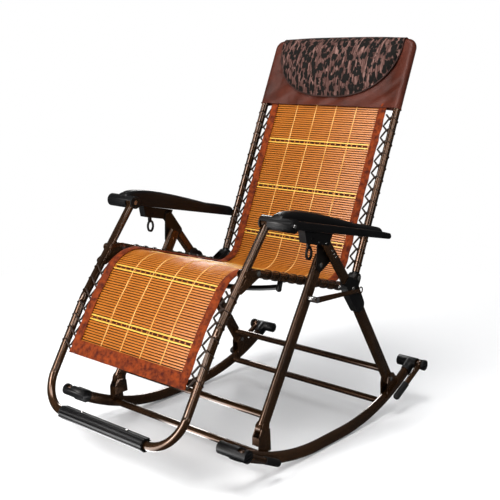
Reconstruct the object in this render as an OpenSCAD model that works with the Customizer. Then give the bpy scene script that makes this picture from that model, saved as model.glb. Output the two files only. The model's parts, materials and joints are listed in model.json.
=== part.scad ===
// Folding, reclining rocking chair: steel tube frame, laced mat, rockers with flip-down stops

/* [Seat and back] */
// Height of the seat's front bolt above the floor
seat_front_z = 526; // [500:1:550]
// Distance of the seat's front bolt in front of the origin
seat_front_y = 214; // [195:1:235]
// Slope of the seat rails, down to the rear, degrees
seat_slope = 15.8; // [12:0.1:18]
// Distance from the seat's front bolt to the backrest hinge
seat_len = 446; // [430:1:460]
// Height of the backrest hinge above the seat rail's centre line
hinge_rise = 31; // [28:1:36]
// Lean of the backrest from the vertical, degrees
back_lean = 23.2; // [20:0.1:26]
// Length of the backrest tube from its hinge to the top
back_len = 712; // [680:1:740]
// Length of the headrest cover below the tube's top
cover_len = 205; // [190:1:220]
// Distance of the armrest bolts from the bolts below them
arm_rise = 129.5; // [120:0.5:135]
// Distance between the side tubes' centre lines
frame_w = 500; // [490:1:504]
// Diameter of the round frame tubes
tube_d = 22; // [20:0.5:23]
// Wall of all tubes
tube_wall = 1.5; // [1:0.1:2]
// Centre-line radius of the footrest tube's corners
corner_r = 92; // [60:1:110]
// Centre-line radius of the backrest tube's top corners
head_corner_r = 38; // [34:1:50]

/* [Footrest] */
// Reach of the footrest tube's foot in front of the seat's front bolt
foot_reach = 285; // [265:1:290]
// Height of the footrest's cross tube above the floor
foot_z = 143; // [135:1:155]
// Length of the moulded foot cover
foot_cover_len = 314; // [280:1:330]

/* [Legs] */
// Height of the hub bolt where front leg and strut cross
hub_z = 512; // [500:1:525]
// Distance of the hub bolt behind the origin
hub_y = 13; // [5:1:21]
// Height of the front foot's pin
front_foot_z = 128; // [122:1:134]
// Distance of the front foot's pin in front of the origin
front_foot_y = 210; // [201:1:219]
// Distance of the rear foot's bolt behind the origin
rear_foot_y = 342; // [334:1:350]
// Height of the rear foot's bolt
rear_foot_z = 112; // [106:1:116]
// Distance along the seat rail from the knee bolt to the backrest hinge
knee_back = 84; // [76:1:90]
// Depth of the oval leg tubes, seen from the side
leg_depth = 38; // [34:1:42]
// Thickness of the front leg tubes across the chair
front_leg_t = 16; // [14:1:16]
// Depth of the strut tubes, seen from the side
strut_depth = 30; // [26:1:32]
// Thickness of rear legs, struts and rockers across the chair
side_t = 20; // [18:1:20]

/* [Rockers] */
// Height of the rocker tubes
rocker_h = 32; // [28:1:36]
// Length of the level stretch at the bottom of a rocker
rocker_flat = 100; // [90:1:110]
// Distance of the level stretch's middle behind the origin
rocker_mid_y = 56; // [45:1:75]
// Reach of the rocker's front end in front of the origin
rocker_front_y = 341; // [331:1:351]
// Height of the rocker's front end, centre line
rocker_front_z = 113; // [105:1:120]
// Reach of the rocker's rear end behind the origin
rocker_rear_y = 472; // [462:1:482]
// Height of the rocker's rear end, centre line
rocker_rear_z = 124; // [116:1:130]
// Gap between a seat rail and the leg frame beside it
leg_gap = 25; // [22:0.5:28]
// Length of the barrel across a rocker end
barrel_len = 92; // [86:1:98]
// Diameter of the barrels
barrel_d = 32; // [28:1:34]
// Length of a stop leg, from its pin to its tip
stop_len = 155; // [145:1:160]
// Diameter of a stop leg's tube
stop_d = 20; // [18:0.5:22]

/* [Armrests] */
// Width of an armrest
arm_w = 60; // [52:1:64]
// Height of an armrest's pad over its bolts, at its ends
arm_top = 26; // [22:1:30]
// Height of an armrest's outer rail over its bolts
arm_rail = 14; // [12:1:18]
// Drop of an armrest's underside below its front bolt
arm_drop = 9; // [8:0.5:12]
// Height that the pad's arch adds over the rail
arm_arch = 14; // [8:1:16]
// Diameter of an armrest's front barrel
arm_barrel_d = 36; // [32:1:38]
// Length of an armrest's front barrel
arm_barrel_len = 102; // [98:1:106]

/* [Mat] */
// Gap between a side tube and the mat's edge
mat_gap = 23; // [20:0.5:28]
// Thickness of the mat
mat_t = 3; // [2:0.5:4]
// Thickness of the lacing cord
lace_d = 4; // [3:0.5:4.5]
// Spacing of the lacing loops
lace_pitch = 36; // [35:1:37]

/* [Fits] */
// Radial clearance of a bolt in its bore
bolt_fit = 0.05; // [0.02:0.01:0.08]
// Gap between pieces that lie against each other
seat_gap = 0.3; // [0.2:0.05:0.5]
// Diameter of the frame bolts
bolt_d = 8; // [6:0.5:9]
// Thickness of the bracket plates
plate_t = 2.5; // [2:0.1:3]

/* [Hidden] */
$fn = 48;

// Colours
bronze = "#4a3528";
black = "#1b1b1d";
bright = "#c9c9cc";
mat_colour = "#c8782f";
lace_colour = "#26201d";
cover_colour = "#5a3c28";
pillow_colour = "#3f2a26";

// Vector helpers, in the chair's side plane unless a point has three values
function unit(v) = v / norm(v);
function turn(v, a) = [v[0] * cos(a) - v[1] * sin(a), v[0] * sin(a) + v[1] * cos(a)];
function at(x, p) = [x, p[0], p[1]];
function mix(p, q, t) = p + (q - p) * t;

// Round tube centre plane and radii
tube_x = frame_w / 2;
tube_r = tube_d / 2;
bolt_r = bolt_d / 2;
side_in = tube_x + tube_r + leg_gap;
side_x = side_in + side_t / 2;
side_out = side_in + side_t;
mat_w = frame_w - tube_d - 2 * mat_gap;
knee_dist = seat_len - knee_back;

// Pivots in the side plane, [y, z]
seat_dir = [cos(seat_slope), -sin(seat_slope)];
seat_up = [sin(seat_slope), cos(seat_slope)];
seat_pin = [-seat_front_y, seat_front_z];
back_pin = seat_pin + seat_dir * seat_len + seat_up * hinge_rise;
back_dir = [sin(back_lean), cos(back_lean)];
arm_front_pin = seat_pin + back_dir * arm_rise;
arm_rear_pin = back_pin + back_dir * arm_rise;
arm_dir = unit(arm_rear_pin - arm_front_pin);
arm_up = [-arm_dir[1], arm_dir[0]];
hub = [hub_y, hub_z];
front_foot = [-front_foot_y, front_foot_z];
rear_foot = [rear_foot_y, rear_foot_z];
knee = seat_pin + seat_dir * knee_dist;
back_top = back_pin + back_dir * back_len;

// Planes across the chair
front_leg_x = side_in - plate_t - 1 - front_leg_t / 2;
front_leg_dir = unit(front_foot - hub);
strut_top = hub + [-7, 75.5];
strut_dir = unit(knee - strut_top);
strut_len = norm(knee - strut_top);
leg_dir = unit(rear_foot - knee);
brace_x = side_out + 3.2;
brace_down = 94;
brace_pin = hub + front_leg_dir * brace_down;
brace_hook = knee + [32, -9];
brace_len = norm(brace_hook - brace_pin);
brace_dir = unit(brace_hook - brace_pin);

// Rocker centre line: a level stretch and one arc to each end
rocker_z = rocker_h / 2;
flat_front = rocker_mid_y - rocker_flat / 2;
flat_rear = rocker_mid_y + rocker_flat / 2;
front_run = rocker_front_y + flat_front;
front_lift = rocker_front_z - rocker_z;
rear_run = rocker_rear_y - flat_rear;
rear_lift = rocker_rear_z - rocker_z;
front_arc = (front_run * front_run + front_lift * front_lift) / (2 * front_lift);
rear_arc = (rear_run * rear_run + rear_lift * rear_lift) / (2 * rear_lift);
function rocker_height(y) = rocker_z + (
  y < flat_front ? front_arc - sqrt(front_arc ^ 2 - (y - flat_front) ^ 2)
  : y > flat_rear ? rear_arc - sqrt(rear_arc ^ 2 - (y - flat_rear) ^ 2) : 0);
front_end_angle = asin(front_run / front_arc);
rear_end_angle = asin(rear_run / rear_arc);
front_end = [-rocker_front_y, rocker_front_z];
rear_end = [rocker_rear_y, rocker_rear_z];

// Places local z along p to q and local x as near the chair's x axis as can be
module along(p, q) {
  z = unit(q - p);
  x0 = abs(z[0]) > 0.9 ? [0, 1, 0] : [1, 0, 0];
  y = unit(cross(z, x0));
  x = cross(y, z);
  multmatrix([[x[0], y[0], z[0], p[0]], [x[1], y[1], z[1], p[1]], [x[2], y[2], z[2], p[2]]]) children();
}

module rod(p, q, r) {
  along(p, q) cylinder(h = norm(q - p), r = r);
}

// Cylinder along x from x0 to x1 at a point of the side plane
module cross_rod(x0, x1, p, r) {
  translate([x0, p[0], p[1]]) rotate([0, 90, 0]) cylinder(h = x1 - x0, r = r);
}

// A side-plane outline given in [y, z], thickened from x0 to x1
module side_plate(x0, x1) {
  translate([x0, 0, 0]) rotate([90, 0, 90]) linear_extrude(x1 - x0) children();
}

module disc(p, r) {
  translate(p) circle(r = r);
}

// Flat link outline with round ends and straight flanks
module link_outline(p, q, rp, rq) {
  n = turn(unit(q - p), 90);
  disc(p, rp);
  disc(q, rq);
  polygon([p + n * rp, q + n * rq, q - n * rq, p - n * rp]);
}

// Bend radius at a point, from one radius for all or a list, and the length it takes off each straight
function bend_at(bend, i) = is_list(bend) ? bend[i] : bend;
function bend_cut(p, i, bend) = i == 0 || i == len(p) - 1 ? 0
  : bend_at(bend, i) * tan(acos(unit(p[i] - p[i - 1]) * unit(p[i + 1] - p[i])) / 2);

// Solid round bar along 3D points, with a true arc at each inner point
module bent_rod(p, bend, r) {
  z = unit(p[1] - p[0]);
  x0 = len(p) > 2 ? p[2] - p[1] : abs(z[0]) > 0.9 ? [0, 1, 0] : [1, 0, 0];
  x = unit(x0 - z * (x0 * z));
  y = cross(z, x);
  multmatrix([[x[0], y[0], z[0], p[0][0]], [x[1], y[1], z[1], p[0][1]], [x[2], y[2], z[2], p[0][2]]])
    bar_from(p, bend, r, 0, x);
}

// A bend swells a little, and the straights reach into it
bend_lap = 0.8;
bend_swell = 0.06;

// The bar's stretch after point i, its bend and the rest of the bar, in the frame of that stretch
module bar_from(p, bend, r, i, x) {
  d = unit(p[i + 1] - p[i]);
  run = norm(p[i + 1] - p[i]) - bend_cut(p, i, bend) - bend_cut(p, i + 1, bend);
  lap = i == 0 ? 0 : bend_lap;
  far_lap = i + 2 < len(p) ? bend_lap : 0;
  translate([0, 0, -lap]) cylinder(h = run + lap + far_lap, r = r, $fn = 32);
  if (i + 2 < len(p)) {
    d2 = unit(p[i + 2] - p[i + 1]);
    n = unit(d2 - d * (d2 * d));
    a = acos(d * d2);
    b = bend_at(bend, i + 1);
    translate([0, 0, run]) rotate([0, 0, atan2(n * cross(d, x), n * x)]) {
      multmatrix([[-1, 0, 0, b], [0, 0, 1, 0], [0, 1, 0, 0]])
        rotate_extrude(angle = a, $fn = 96) translate([b, 0]) circle(r = r + bend_swell, $fn = 32);
      translate([b * (1 - cos(a)), 0, b * sin(a)]) rotate([0, a, 0])
        bar_from(p, bend, r, i + 1, n * cos(a) - d * sin(a));
    }
  }
}

function extended(p, e) = [
  for (i = [0:len(p) - 1])
    i == 0 ? p[0] - unit(p[1] - p[0]) * e
    : i == len(p) - 1 ? p[i] + unit(p[i] - p[i - 1]) * e : p[i]
];

// Open-ended round tube along 3D points
module tube(p, bend, r) {
  difference() {
    bent_rod(p, bend, r);
    bent_rod(extended(p, 1), bend, r - tube_wall);
  }
}

module stadium(w, t) {
  square([w - t, t], center = true);
  for (s = [-1, 1]) translate([s * (w - t) / 2, 0]) circle(r = t / 2);
}

// Local frame of a leg: origin at p, +z along dir in the side plane, x across the chair
module leg_at(x, p, dir) {
  translate([x, p[0], p[1]]) rotate([atan2(-dir[0], dir[1]), 0, 0]) children();
}

// Bar of oval section along local z, depth along local y
module oval_bar(z0, z1, depth, t) {
  translate([0, 0, z0]) rotate([0, 0, 90]) linear_extrude(z1 - z0) stadium(depth, t);
}

// Rod across a leg, in its local frame
module leg_rod(z, t, r) {
  translate([-t / 2, 0, z]) rotate([0, 90, 0]) cylinder(h = t, r = r);
}

// Oval leg tube with a flat eye at local z = 0, open at the other end; bosses at the given heights
module leg_tube(len, depth, t, bosses) {
  difference() {
    union() {
      oval_bar(0, len, depth, t);
      leg_rod(0, t, depth / 2);
    }
    difference() {
      oval_bar(depth * 0.5, len + 1, depth - 2 * tube_wall, t - 2 * tube_wall);
      for (z = bosses) leg_rod(z, t, bolt_r + 3);
    }
    for (z = concat([0], bosses)) leg_rod(z, t + 2, bolt_r + bolt_fit);
  }
}

module bolt_hole(x0, x1, p) {
  cross_rod(x0 - 1, x1 + 1, p, bolt_r + bolt_fit);
}

// Bolt along x with a low dome head outside and a nut inside; s is the side, 1 or -1
module cross_bolt(s, x0, x1, p) {
  mirror([s < 0 ? 1 : 0, 0, 0]) {
    cross_rod(x0 - nut_t, x1 + 0.1, p, bolt_r);
    translate([x1 + seat_gap, p[0], p[1]]) rotate([0, 90, 0]) bolt_head();
    translate([x0 - seat_gap - nut_t, p[0], p[1]]) rotate([0, 90, 0]) cylinder(h = nut_t, r = bolt_r * 1.7, $fn = 6);
  }
}
nut_t = 3;
head_t = 2.2;
module bolt_head() {
  translate([0, 0, -seat_gap]) cylinder(h = seat_gap, r = bolt_r);
  cylinder(h = head_t * 0.5, r = bolt_r * 1.7);
  translate([0, 0, head_t * 0.5]) cylinder(h = head_t * 0.5, r1 = bolt_r * 1.7, r2 = bolt_r * 1.1);
}

module both_sides() {
  children();
  mirror([1, 0, 0]) children();
}
module one_side(s) {
  mirror([s < 0 ? 1 : 0, 0, 0]) children();
}

// Rocker
module rocker_band(w, t, extra) {
  translate([flat_front, rocker_z, 0]) rotate([90, 0, 90]) linear_extrude(rocker_flat) stadium(w, t);
  translate([flat_front, rocker_z + front_arc, 0]) mirror([1, 0, 0]) rotate([0, 0, -90])
    rotate_extrude(angle = front_end_angle + extra, $fn = 360) translate([front_arc, 0]) stadium(w, t);
  translate([flat_rear, rocker_z + rear_arc, 0]) rotate([0, 0, -90])
    rotate_extrude(angle = rear_end_angle + extra, $fn = 360) translate([rear_arc, 0]) stadium(w, t);
}

module rocker(s) {
  color(bronze) one_side(s) translate([side_x, 0, 0]) rotate([90, 0, 90]) difference() {
    rocker_band(rocker_h, side_t, 0);
    rocker_band(rocker_h - 2 * tube_wall, side_t - 2 * tube_wall, 0.1);
  }
}

// Moulded T cap on a rocker end: a socket over the tube and a barrel across it, slotted for the stop leg
cap_wall = 2.5;
cap_len = 34;
barrel_r = barrel_d / 2;
barrel_x0 = side_x + 4 - barrel_len / 2;
barrel_x1 = barrel_x0 + barrel_len;
stop_x = barrel_x1 - 8 - stop_d / 2;
stop_eye_r = barrel_r - cap_wall - 1;
stop_slot = stop_d / 2 + 0.6;
// The slot's open sector runs from angle a0 to a1 around the pin, in the side plane
module rocker_cap(c, p, dir, a0, a1) {
  difference() {
    union() {
      cross_rod(barrel_x0, barrel_x1, c, barrel_r);
      along(at(side_x, p - dir * cap_len), at(side_x, c)) rotate([0, 0, 90])
        linear_extrude(cap_len + norm(c - p)) stadium(rocker_h + 2 * cap_wall, side_t + 2 * cap_wall);
    }
    along(at(side_x, p - dir * (cap_len + 1)), at(side_x, p + dir * seat_gap)) rotate([0, 0, 90])
      linear_extrude(cap_len + 1 + seat_gap) stadium(rocker_h + 2 * seat_gap + 1.6, side_t + 2 * seat_gap);
    cross_rod(stop_x - stop_slot, stop_x + stop_slot, c, barrel_r - cap_wall);
    side_plate(stop_x - stop_slot, stop_x + stop_slot)
      polygon([c, for (k = [0:6]) let (a = a0 + (a1 - a0) * k / 6) c + [cos(a), sin(a)] * barrel_d]);
    bolt_hole(stop_x - stop_d / 2 - 7, barrel_x1 - 2, c);
  }
}
// Stop legs: reach of their swing up and down, and the directions in which they hang
stop_up = 120;
stop_down = 18;
stop_slope = 27;
stop_half_angle = 40;
front_tip = [-cos(front_end_angle), sin(front_end_angle)];
rear_tip = [cos(rear_end_angle), sin(rear_end_angle)];
front_stop_pin = front_end + front_tip * 4;
rear_stop_pin = rear_end + rear_tip * 4;
front_stop_dir = [cos(stop_slope), -sin(stop_slope)];
rear_stop_dir = [-cos(stop_slope), -sin(stop_slope)];
module rocker_caps_front() {
  color(black) both_sides() rocker_cap(front_stop_pin, front_end, front_tip,
    -stop_slope - stop_down - stop_half_angle, stop_up - stop_slope + stop_half_angle);
}
module rocker_caps_rear() {
  color(black) both_sides() rocker_cap(rear_stop_pin, rear_end, rear_tip,
    180 + stop_slope - stop_up - stop_half_angle, 180 + stop_slope + stop_down + stop_half_angle);
}

// Stop legs hang folded back beside the rocker ends; their pin is part of the tube's eye
tip_len = 66;
module stop_tube(s, p, dir) {
  color(bronze) one_side(s) difference() {
    union() {
      cross_rod(stop_x - stop_d / 2, stop_x + stop_d / 2, p, stop_eye_r);
      cross_rod(stop_x - stop_d / 2 - 6, barrel_x1 - 3, p, bolt_r);
      rod(at(stop_x, p + dir * 6), at(stop_x, p + dir * (stop_len - 18)), stop_d / 2 - 2);
    }
    rod(at(stop_x, p + dir * (barrel_r + 2)), at(stop_x, p + dir * stop_len), stop_d / 2 - 2 - tube_wall);
  }
}
module stop_tip(s, p, dir) {
  c = at(stop_x, p + dir * (stop_len - tip_len));
  r = stop_d / 2;
  color(black) one_side(s) along(c, at(stop_x, p + dir * stop_len)) rotate_extrude() difference() {
    union() {
      square([r, tip_len - r]);
      intersection() {
        translate([0, tip_len - r]) circle(r = r);
        square([r, tip_len]);
      }
    }
    translate([-1, -1]) square([r - 1 + seat_gap, tip_len - 17 + seat_gap]);
  }
}

// Cross bars of the base
bar_r = 9.5;
lower_front_bar_pin = [-front_foot_y - 2, rocker_height(-front_foot_y - 2)];
lower_rear_bar_pin = [rear_foot_y - 32, rocker_height(rear_foot_y - 32)];
module base_bar(p) {
  color(bronze) tube([at(-side_in + seat_gap, p), at(side_in - seat_gap, p)], 0, bar_r);
}
module lower_front_bar() {
  base_bar(lower_front_bar_pin);
}
module lower_rear_bar() {
  base_bar(lower_rear_bar_pin);
}

// Foot brackets: two cheeks joined by a web in front of or behind the leg's foot
module front_foot_bracket() {
  y = front_foot[0];
  mid = rocker_height(y);
  inner = front_leg_x - front_leg_t / 2 - plate_t - 1;
  outer = side_in - seat_gap;
  module cheek(x0, x1, z0) {
    side_plate(x0, x1) {
      disc(front_foot, leg_depth / 2 - 4);
      polygon([[y - 26, z0], [y + 22, z0], [y + 18, front_foot[1] - 6], [y - 13, front_foot[1] + 4],
        [y - 26, mid + 56]]);
    }
  }
  cheek(inner, inner + plate_t, mid + 34);
  cheek(outer - plate_t, outer, lower_front_bar_pin[1] + bar_r + seat_gap);
  translate([inner, y - 26, mid + 34]) cube([outer - inner, plate_t, 22]);
  cross_rod(inner - 3, inner + plate_t + 0.4, front_foot, bolt_r);
}
module front_foot_brackets() {
  color(bronze) both_sides() front_foot_bracket();
}

module rear_foot_bracket() {
  base = rear_foot + [10, rocker_height(rear_foot_y + 10) - rear_foot_z];
  module cheek(x0, x1) {
    side_plate(x0, x1) difference() {
      polygon([rear_foot + [-14, 12], rear_foot + [12, 17], rear_foot + [38, -8], base + [18, 2], base + [-26, -8],
        rear_foot + [-18, -10]]);
      disc(rear_foot, bolt_r + bolt_fit);
    }
  }
  cheek(side_in - seat_gap - plate_t, side_in - seat_gap);
  cheek(side_out + seat_gap, side_out + seat_gap + plate_t);
}
module rear_foot_brackets() {
  color(bronze) both_sides() rear_foot_bracket();
}

// Front legs
front_leg_over = 24;
front_leg_in = front_leg_x - front_leg_t / 2;
front_leg_out = front_leg_x + front_leg_t / 2;
module front_leg(s) {
  up = norm(hub - front_foot);
  color(bronze) one_side(s) leg_at(front_leg_x, front_foot, -front_leg_dir)
    leg_tube(up + front_leg_over, leg_depth, front_leg_t, [up, up - brace_down]);
}

upper_front_bar_pin = front_foot - front_leg_dir * 30;
module upper_front_bar() {
  x = front_leg_in - seat_gap;
  color(bronze) tube([at(-x, upper_front_bar_pin), at(x, upper_front_bar_pin)], 0, bar_r);
}

// Bolt and bush that carry the brace link outside the leg
module brace_bolts() {
  color(bright) both_sides() {
    cross_rod(front_leg_in, front_leg_out + seat_gap, brace_pin, bolt_r);
    cross_rod(front_leg_out + seat_gap, brace_x - 0.4, brace_pin, bolt_r + 4);
    cross_rod(brace_x - 0.4, brace_x + brace_t + seat_gap, brace_pin, bolt_r);
    translate(at(brace_x + brace_t + seat_gap, brace_pin)) rotate([0, 90, 0]) bolt_head();
  }
}

// Brace link: a flat bar, bored at the leg, with a wire pull ring past the knee
brace_t = 3;
brace_w = 12;
ring_wire_r = 1.8;
ring_r = 8.2;
module brace_link(s) {
  end = brace_hook - brace_dir * (ring_r + 2);
  ring_c = brace_hook;
  color(bronze) one_side(s) difference() {
    union() {
      side_plate(brace_x, brace_x + brace_t) {
        link_outline(brace_pin, end, brace_w / 2 + 2, brace_w / 2 - 1);
      }
      translate(at(brace_x + brace_t / 2, ring_c)) rotate([0, 90, 0])
        rotate_extrude() translate([ring_r, 0]) circle(r = ring_wire_r, $fn = 16);
    }
    bolt_hole(brace_x, brace_x + brace_t, brace_pin);
  }
}

// Rear legs, struts and knee sleeves
sleeve_wall = 2.5;
knee_low = knee + leg_dir * 20;
module rear_leg(s) {
  color(bronze) one_side(s) leg_at(side_x, rear_foot, -leg_dir)
    leg_tube(norm(knee_low - rear_foot), leg_depth, side_t - 1, []);
}
module rear_strut(s) {
  color(bronze) one_side(s) leg_at(side_x, knee, -strut_dir) difference() {
    oval_bar(16, strut_len, strut_depth, side_t - 1);
    oval_bar(15, strut_len + 1, strut_depth - 2 * tube_wall, side_t - 1 - 2 * tube_wall);
  }
}
module knee_sleeve() {
  x0 = side_in - 0.5;
  x1 = side_out + 2;
  difference() {
    union() {
      side_plate(x0, x1) {
        link_outline(knee - strut_dir * 24, knee, strut_depth / 2 + sleeve_wall, leg_depth / 2 + 1);
        link_outline(knee, knee + leg_dir * 64, leg_depth / 2 + 6, leg_depth / 2 + sleeve_wall - 1);
      }
    }
    leg_at(side_x, knee, -strut_dir)
      oval_bar(16 - seat_gap, 70, strut_depth + 2 * seat_gap, side_t - 1 + 2 * seat_gap);
    leg_at(side_x, knee, leg_dir)
      oval_bar(20 - seat_gap, 90, leg_depth + 2 * seat_gap, side_t - 1 + 2 * seat_gap);
    cross_rod(x0 - 1, x1 + 1, knee, bolt_r + bolt_fit);
  }
}
module knee_sleeves() {
  color(black) both_sides() knee_sleeve();
}
upper_rear_bar_pin = rear_foot - leg_dir * 38;
module upper_rear_bar() {
  x = side_in + 0.5 - seat_gap;
  color(bronze) tube([at(-x, upper_rear_bar_pin), at(x, upper_rear_bar_pin)], 0, bar_r);
}

// Plate outline with round corners about three points given clockwise
module three_corner_outline(points, radii) {
  for (i = [0:2]) disc(points[i], radii[i]);
  polygon([for (i = [0:2]) let (j = (i + 1) % 3, n = turn(unit(points[j] - points[i]), 90))
    each [points[i] + n * (radii[i] - 0.05), points[j] + n * (radii[j] - 0.05)]]);
}

// Gusset plate between strut and front leg; it carries the lock housing
gusset_x0 = side_in - 0.1 - plate_t;
gusset_x1 = side_in + 0.5 - seat_gap;
module gusset_plates() {
  upper = strut_top + strut_dir * 8;
  lower = strut_top + strut_dir * 76;
  color(bronze) both_sides() side_plate(gusset_x1 - plate_t, gusset_x1) difference() {
    three_corner_outline([upper, lower, hub], [14, 13, 18]);
    disc(hub, bolt_r + bolt_fit);
  }
}

// Lock housing: a hollow trapezoid under the armrest, with the strut's top inside
function arm_point(d, rise) = arm_front_pin + arm_dir * d + arm_up * rise;
function arm_under(d) = d * 0.0065 - arm_drop;
housing_x0 = gusset_x1 + seat_gap;
housing_x1 = side_out + 3;
housing_low = 40;
housing_d0 = 79;
module housing_outline(g) {
  polygon([arm_point(housing_d0 + g, arm_under(housing_d0) - 0.7 - g), arm_point(201 - g, arm_under(201) - 1.5 - g),
    arm_point(192 - g, g - housing_low), arm_point(housing_d0 + 14 + g, g - housing_low)]);
}
module lock_housing(s) {
  color(black) one_side(s) difference() {
    side_plate(housing_x0, housing_x1) housing_outline(0);
    side_plate(housing_x0 + 3, housing_x1 - 3) housing_outline(3);
    leg_at(side_x, knee, -strut_dir)
      oval_bar(strut_len - 60, strut_len + seat_gap, strut_depth + 2 * seat_gap, side_t - 1 + 2 * seat_gap);
    lever_slot();
    bolt_hole(housing_x0, housing_x1, lever_pin);
  }
}
lever_pin = arm_point(115, -28);
lever_x0 = side_x - 3;
lever_x1 = side_x + 3;
module lever_slot() {
  translate([lever_x0 - 0.5, lever_pin[0] - 17, lever_pin[1] - 40]) cube([lever_x1 - lever_x0 + 1, 34, 44]);
}
// Lock lever: a finger ring that hangs from a pin inside the housing
module lock_lever(s) {
  ring_c = arm_point(126, -65);
  color(black) one_side(s) {
    side_plate(lever_x0, lever_x1) {
      disc(lever_pin, 6.5);
      link_outline(lever_pin, ring_c + [-2, 16], 5, 5);
      translate(ring_c) scale([1, 1.5]) difference() {
        circle(r = 12);
        circle(r = 8.5);
      }
    }
    cross_rod(housing_x0 + 0.6, housing_x1 - 0.6, lever_pin, bolt_r);
  }
}

// Rivets of the housing and the gusset, on the outer face
rivet_r = 2.6;
module lock_rivets() {
  color(bright) both_sides() {
    for (d = [143, 178]) cross_rod(housing_x1 + 0.1, housing_x1 + 1.6, arm_point(d, 6 - housing_low), rivet_r);
    for (d = [49, 62, 74]) cross_rod(side_out - 0.4, side_out + 1.1, strut_top + strut_dir * d, rivet_r);
  }
}

// Bolts of hub, knee and rear foot
module frame_bolts() {
  color(bright) for (s = [1, -1]) {
    one_side(s) {
      cross_rod(front_leg_in + 0.5, gusset_x1 + 0.1, hub, bolt_r);
      translate(at(gusset_x1 + seat_gap, hub)) rotate([0, 90, 0]) bolt_head();
    }
    cross_bolt(s, side_in - plate_t - 0.6, side_out + plate_t + 0.6, rear_foot);
    one_side(s) {
      cross_rod(tube_x - tube_r - 1, side_out + 2.1, knee, bolt_r);
      translate(at(side_out + 2.1, knee)) rotate([0, 90, 0]) cylinder(h = 0.8, r = bolt_r * 1.6);
      translate(at(tube_x - tube_r - 4, knee)) rotate([0, 90, 0]) cylinder(h = 3, r = bolt_r * 1.7, $fn = 6);
      cross_rod(tube_x + tube_r + 0.4, side_in - 0.6, knee, bolt_r + 3);
    }
  }
}

// Seat frame
seat_front_loops = floor((knee_dist - 30) / lace_pitch);
seat_lace_from = knee_dist - seat_front_loops * lace_pitch;
bracket_rivet_r = 5;
rail_end = seat_pin + seat_dir * (seat_len + 2);
bracket_rivet_at = rail_end - seat_dir * 14;
module seat_rail(s) {
  color(bronze) one_side(s) difference() {
    union() {
      tube([at(tube_x, seat_pin - seat_dir * 14), at(tube_x, rail_end)], 0, tube_r);
      for (p = [seat_pin, knee]) cross_rod(tube_x - tube_r, tube_x + tube_r, p, bolt_r + 2);
    }
    for (p = [seat_pin, knee]) bolt_hole(tube_x - tube_r, tube_x + tube_r, p);
    cross_rod(tube_x - tube_r - 1, tube_x + tube_r + 1, bracket_rivet_at, bracket_rivet_r + bolt_fit);
  }
}
cross_bar_r = 7;
cross_bar_drop = 14;
cross_post_len = 20;
cross_bar_sag = 30;
cross_bar_at = seat_pin + seat_dir * (seat_lace_from + 2 * lace_pitch);
module seat_cross_bar() {
  top = cross_bar_at - seat_up * (tube_r + seat_gap);
  low = top - seat_up * cross_bar_drop;
  foot = top - seat_up * cross_post_len;
  arc_r = (tube_x ^ 2 + cross_bar_sag ^ 2) / (2 * cross_bar_sag);
  a = asin(tube_x / arc_r);
  color(black) {
    both_sides() {
      rod(at(tube_x, foot), at(tube_x, top), cross_bar_r);
      translate(at(tube_x, foot)) sphere(r = cross_bar_r + 0.5);
    }
    translate([0, low[0], low[1] - cross_bar_sag + arc_r]) rotate([90, 0, 0]) rotate([0, 0, -90 - a])
      rotate_extrude(angle = 2 * a, $fn = 360) translate([arc_r, 0]) circle(r = cross_bar_r, $fn = 32);
  }
}

// Clevis plates at the rail's rear end that carry the backrest hinge
cheek_in = tube_r + seat_gap + 0.3;
module back_brackets() {
  color(black) both_sides() for (x = [tube_x - cheek_in - plate_t, tube_x + cheek_in])
    side_plate(x, x + plate_t) difference() {
      union() {
        link_outline(seat_pin + seat_dir * (seat_len - 34), rail_end - seat_dir * 8, 12, 14);
        link_outline(rail_end - seat_dir * 8, back_pin, 14, 13);
        link_outline(seat_pin + seat_dir * (seat_len - 34), back_pin, 12, 13);
      }
      disc(back_pin, bolt_r + bolt_fit);
    }
  color(black) both_sides() difference() {
    cross_rod(tube_x - cheek_in, tube_x + cheek_in, bracket_rivet_at, bracket_rivet_r);
    cross_rod(tube_x - cheek_in - 1, tube_x + cheek_in + 1, bracket_rivet_at, bracket_rivet_r - 2);
  }
}
module seat_front_bolts() {
  g = tube_r + plate_t + 1.4;
  color(bright) for (s = [1, -1]) cross_bolt(s, tube_x - g, tube_x + g, seat_pin);
}

// Backrest
cup_len = 58;
module back_tube() {
  low = back_pin + back_dir * 16;
  color(bronze) difference() {
    tube([at(-tube_x, low), at(-tube_x, back_top), at(tube_x, back_top), at(tube_x, low)], head_corner_r, tube_r);
    both_sides() bolt_hole(tube_x - tube_r, tube_x + tube_r, arm_rear_pin);
  }
}
module back_cups() {
  color(black) both_sides() difference() {
    union() {
      cross_rod(tube_x - tube_r, tube_x + tube_r, back_pin, tube_r + 1);
      rod(at(tube_x, back_pin + back_dir * 4), at(tube_x, back_pin + back_dir * 15.7), tube_r);
      rod(at(tube_x, back_pin + back_dir * 4), at(tube_x, back_pin + back_dir * 20), tube_r - tube_wall - seat_gap);
    }
    bolt_hole(tube_x - tube_r, tube_x + tube_r, back_pin);
  }
}
module back_hinge_bolts() {
  g = cheek_in + plate_t + 0.4;
  color(bright) for (s = [1, -1]) cross_bolt(s, tube_x - g, tube_x + g, back_pin);
}
module arm_rear_bolts() {
  color(bright) for (s = [1, -1]) {
    one_side(s) {
      cross_rod(tube_x - tube_r - 3, arm_x0 + 14, arm_rear_pin, bolt_r);
      translate(at(tube_x - tube_r - 3.3, arm_rear_pin)) rotate([0, 90, 0]) cylinder(h = 3, r = bolt_r * 1.7, $fn = 6);
    }
  }
}

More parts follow.
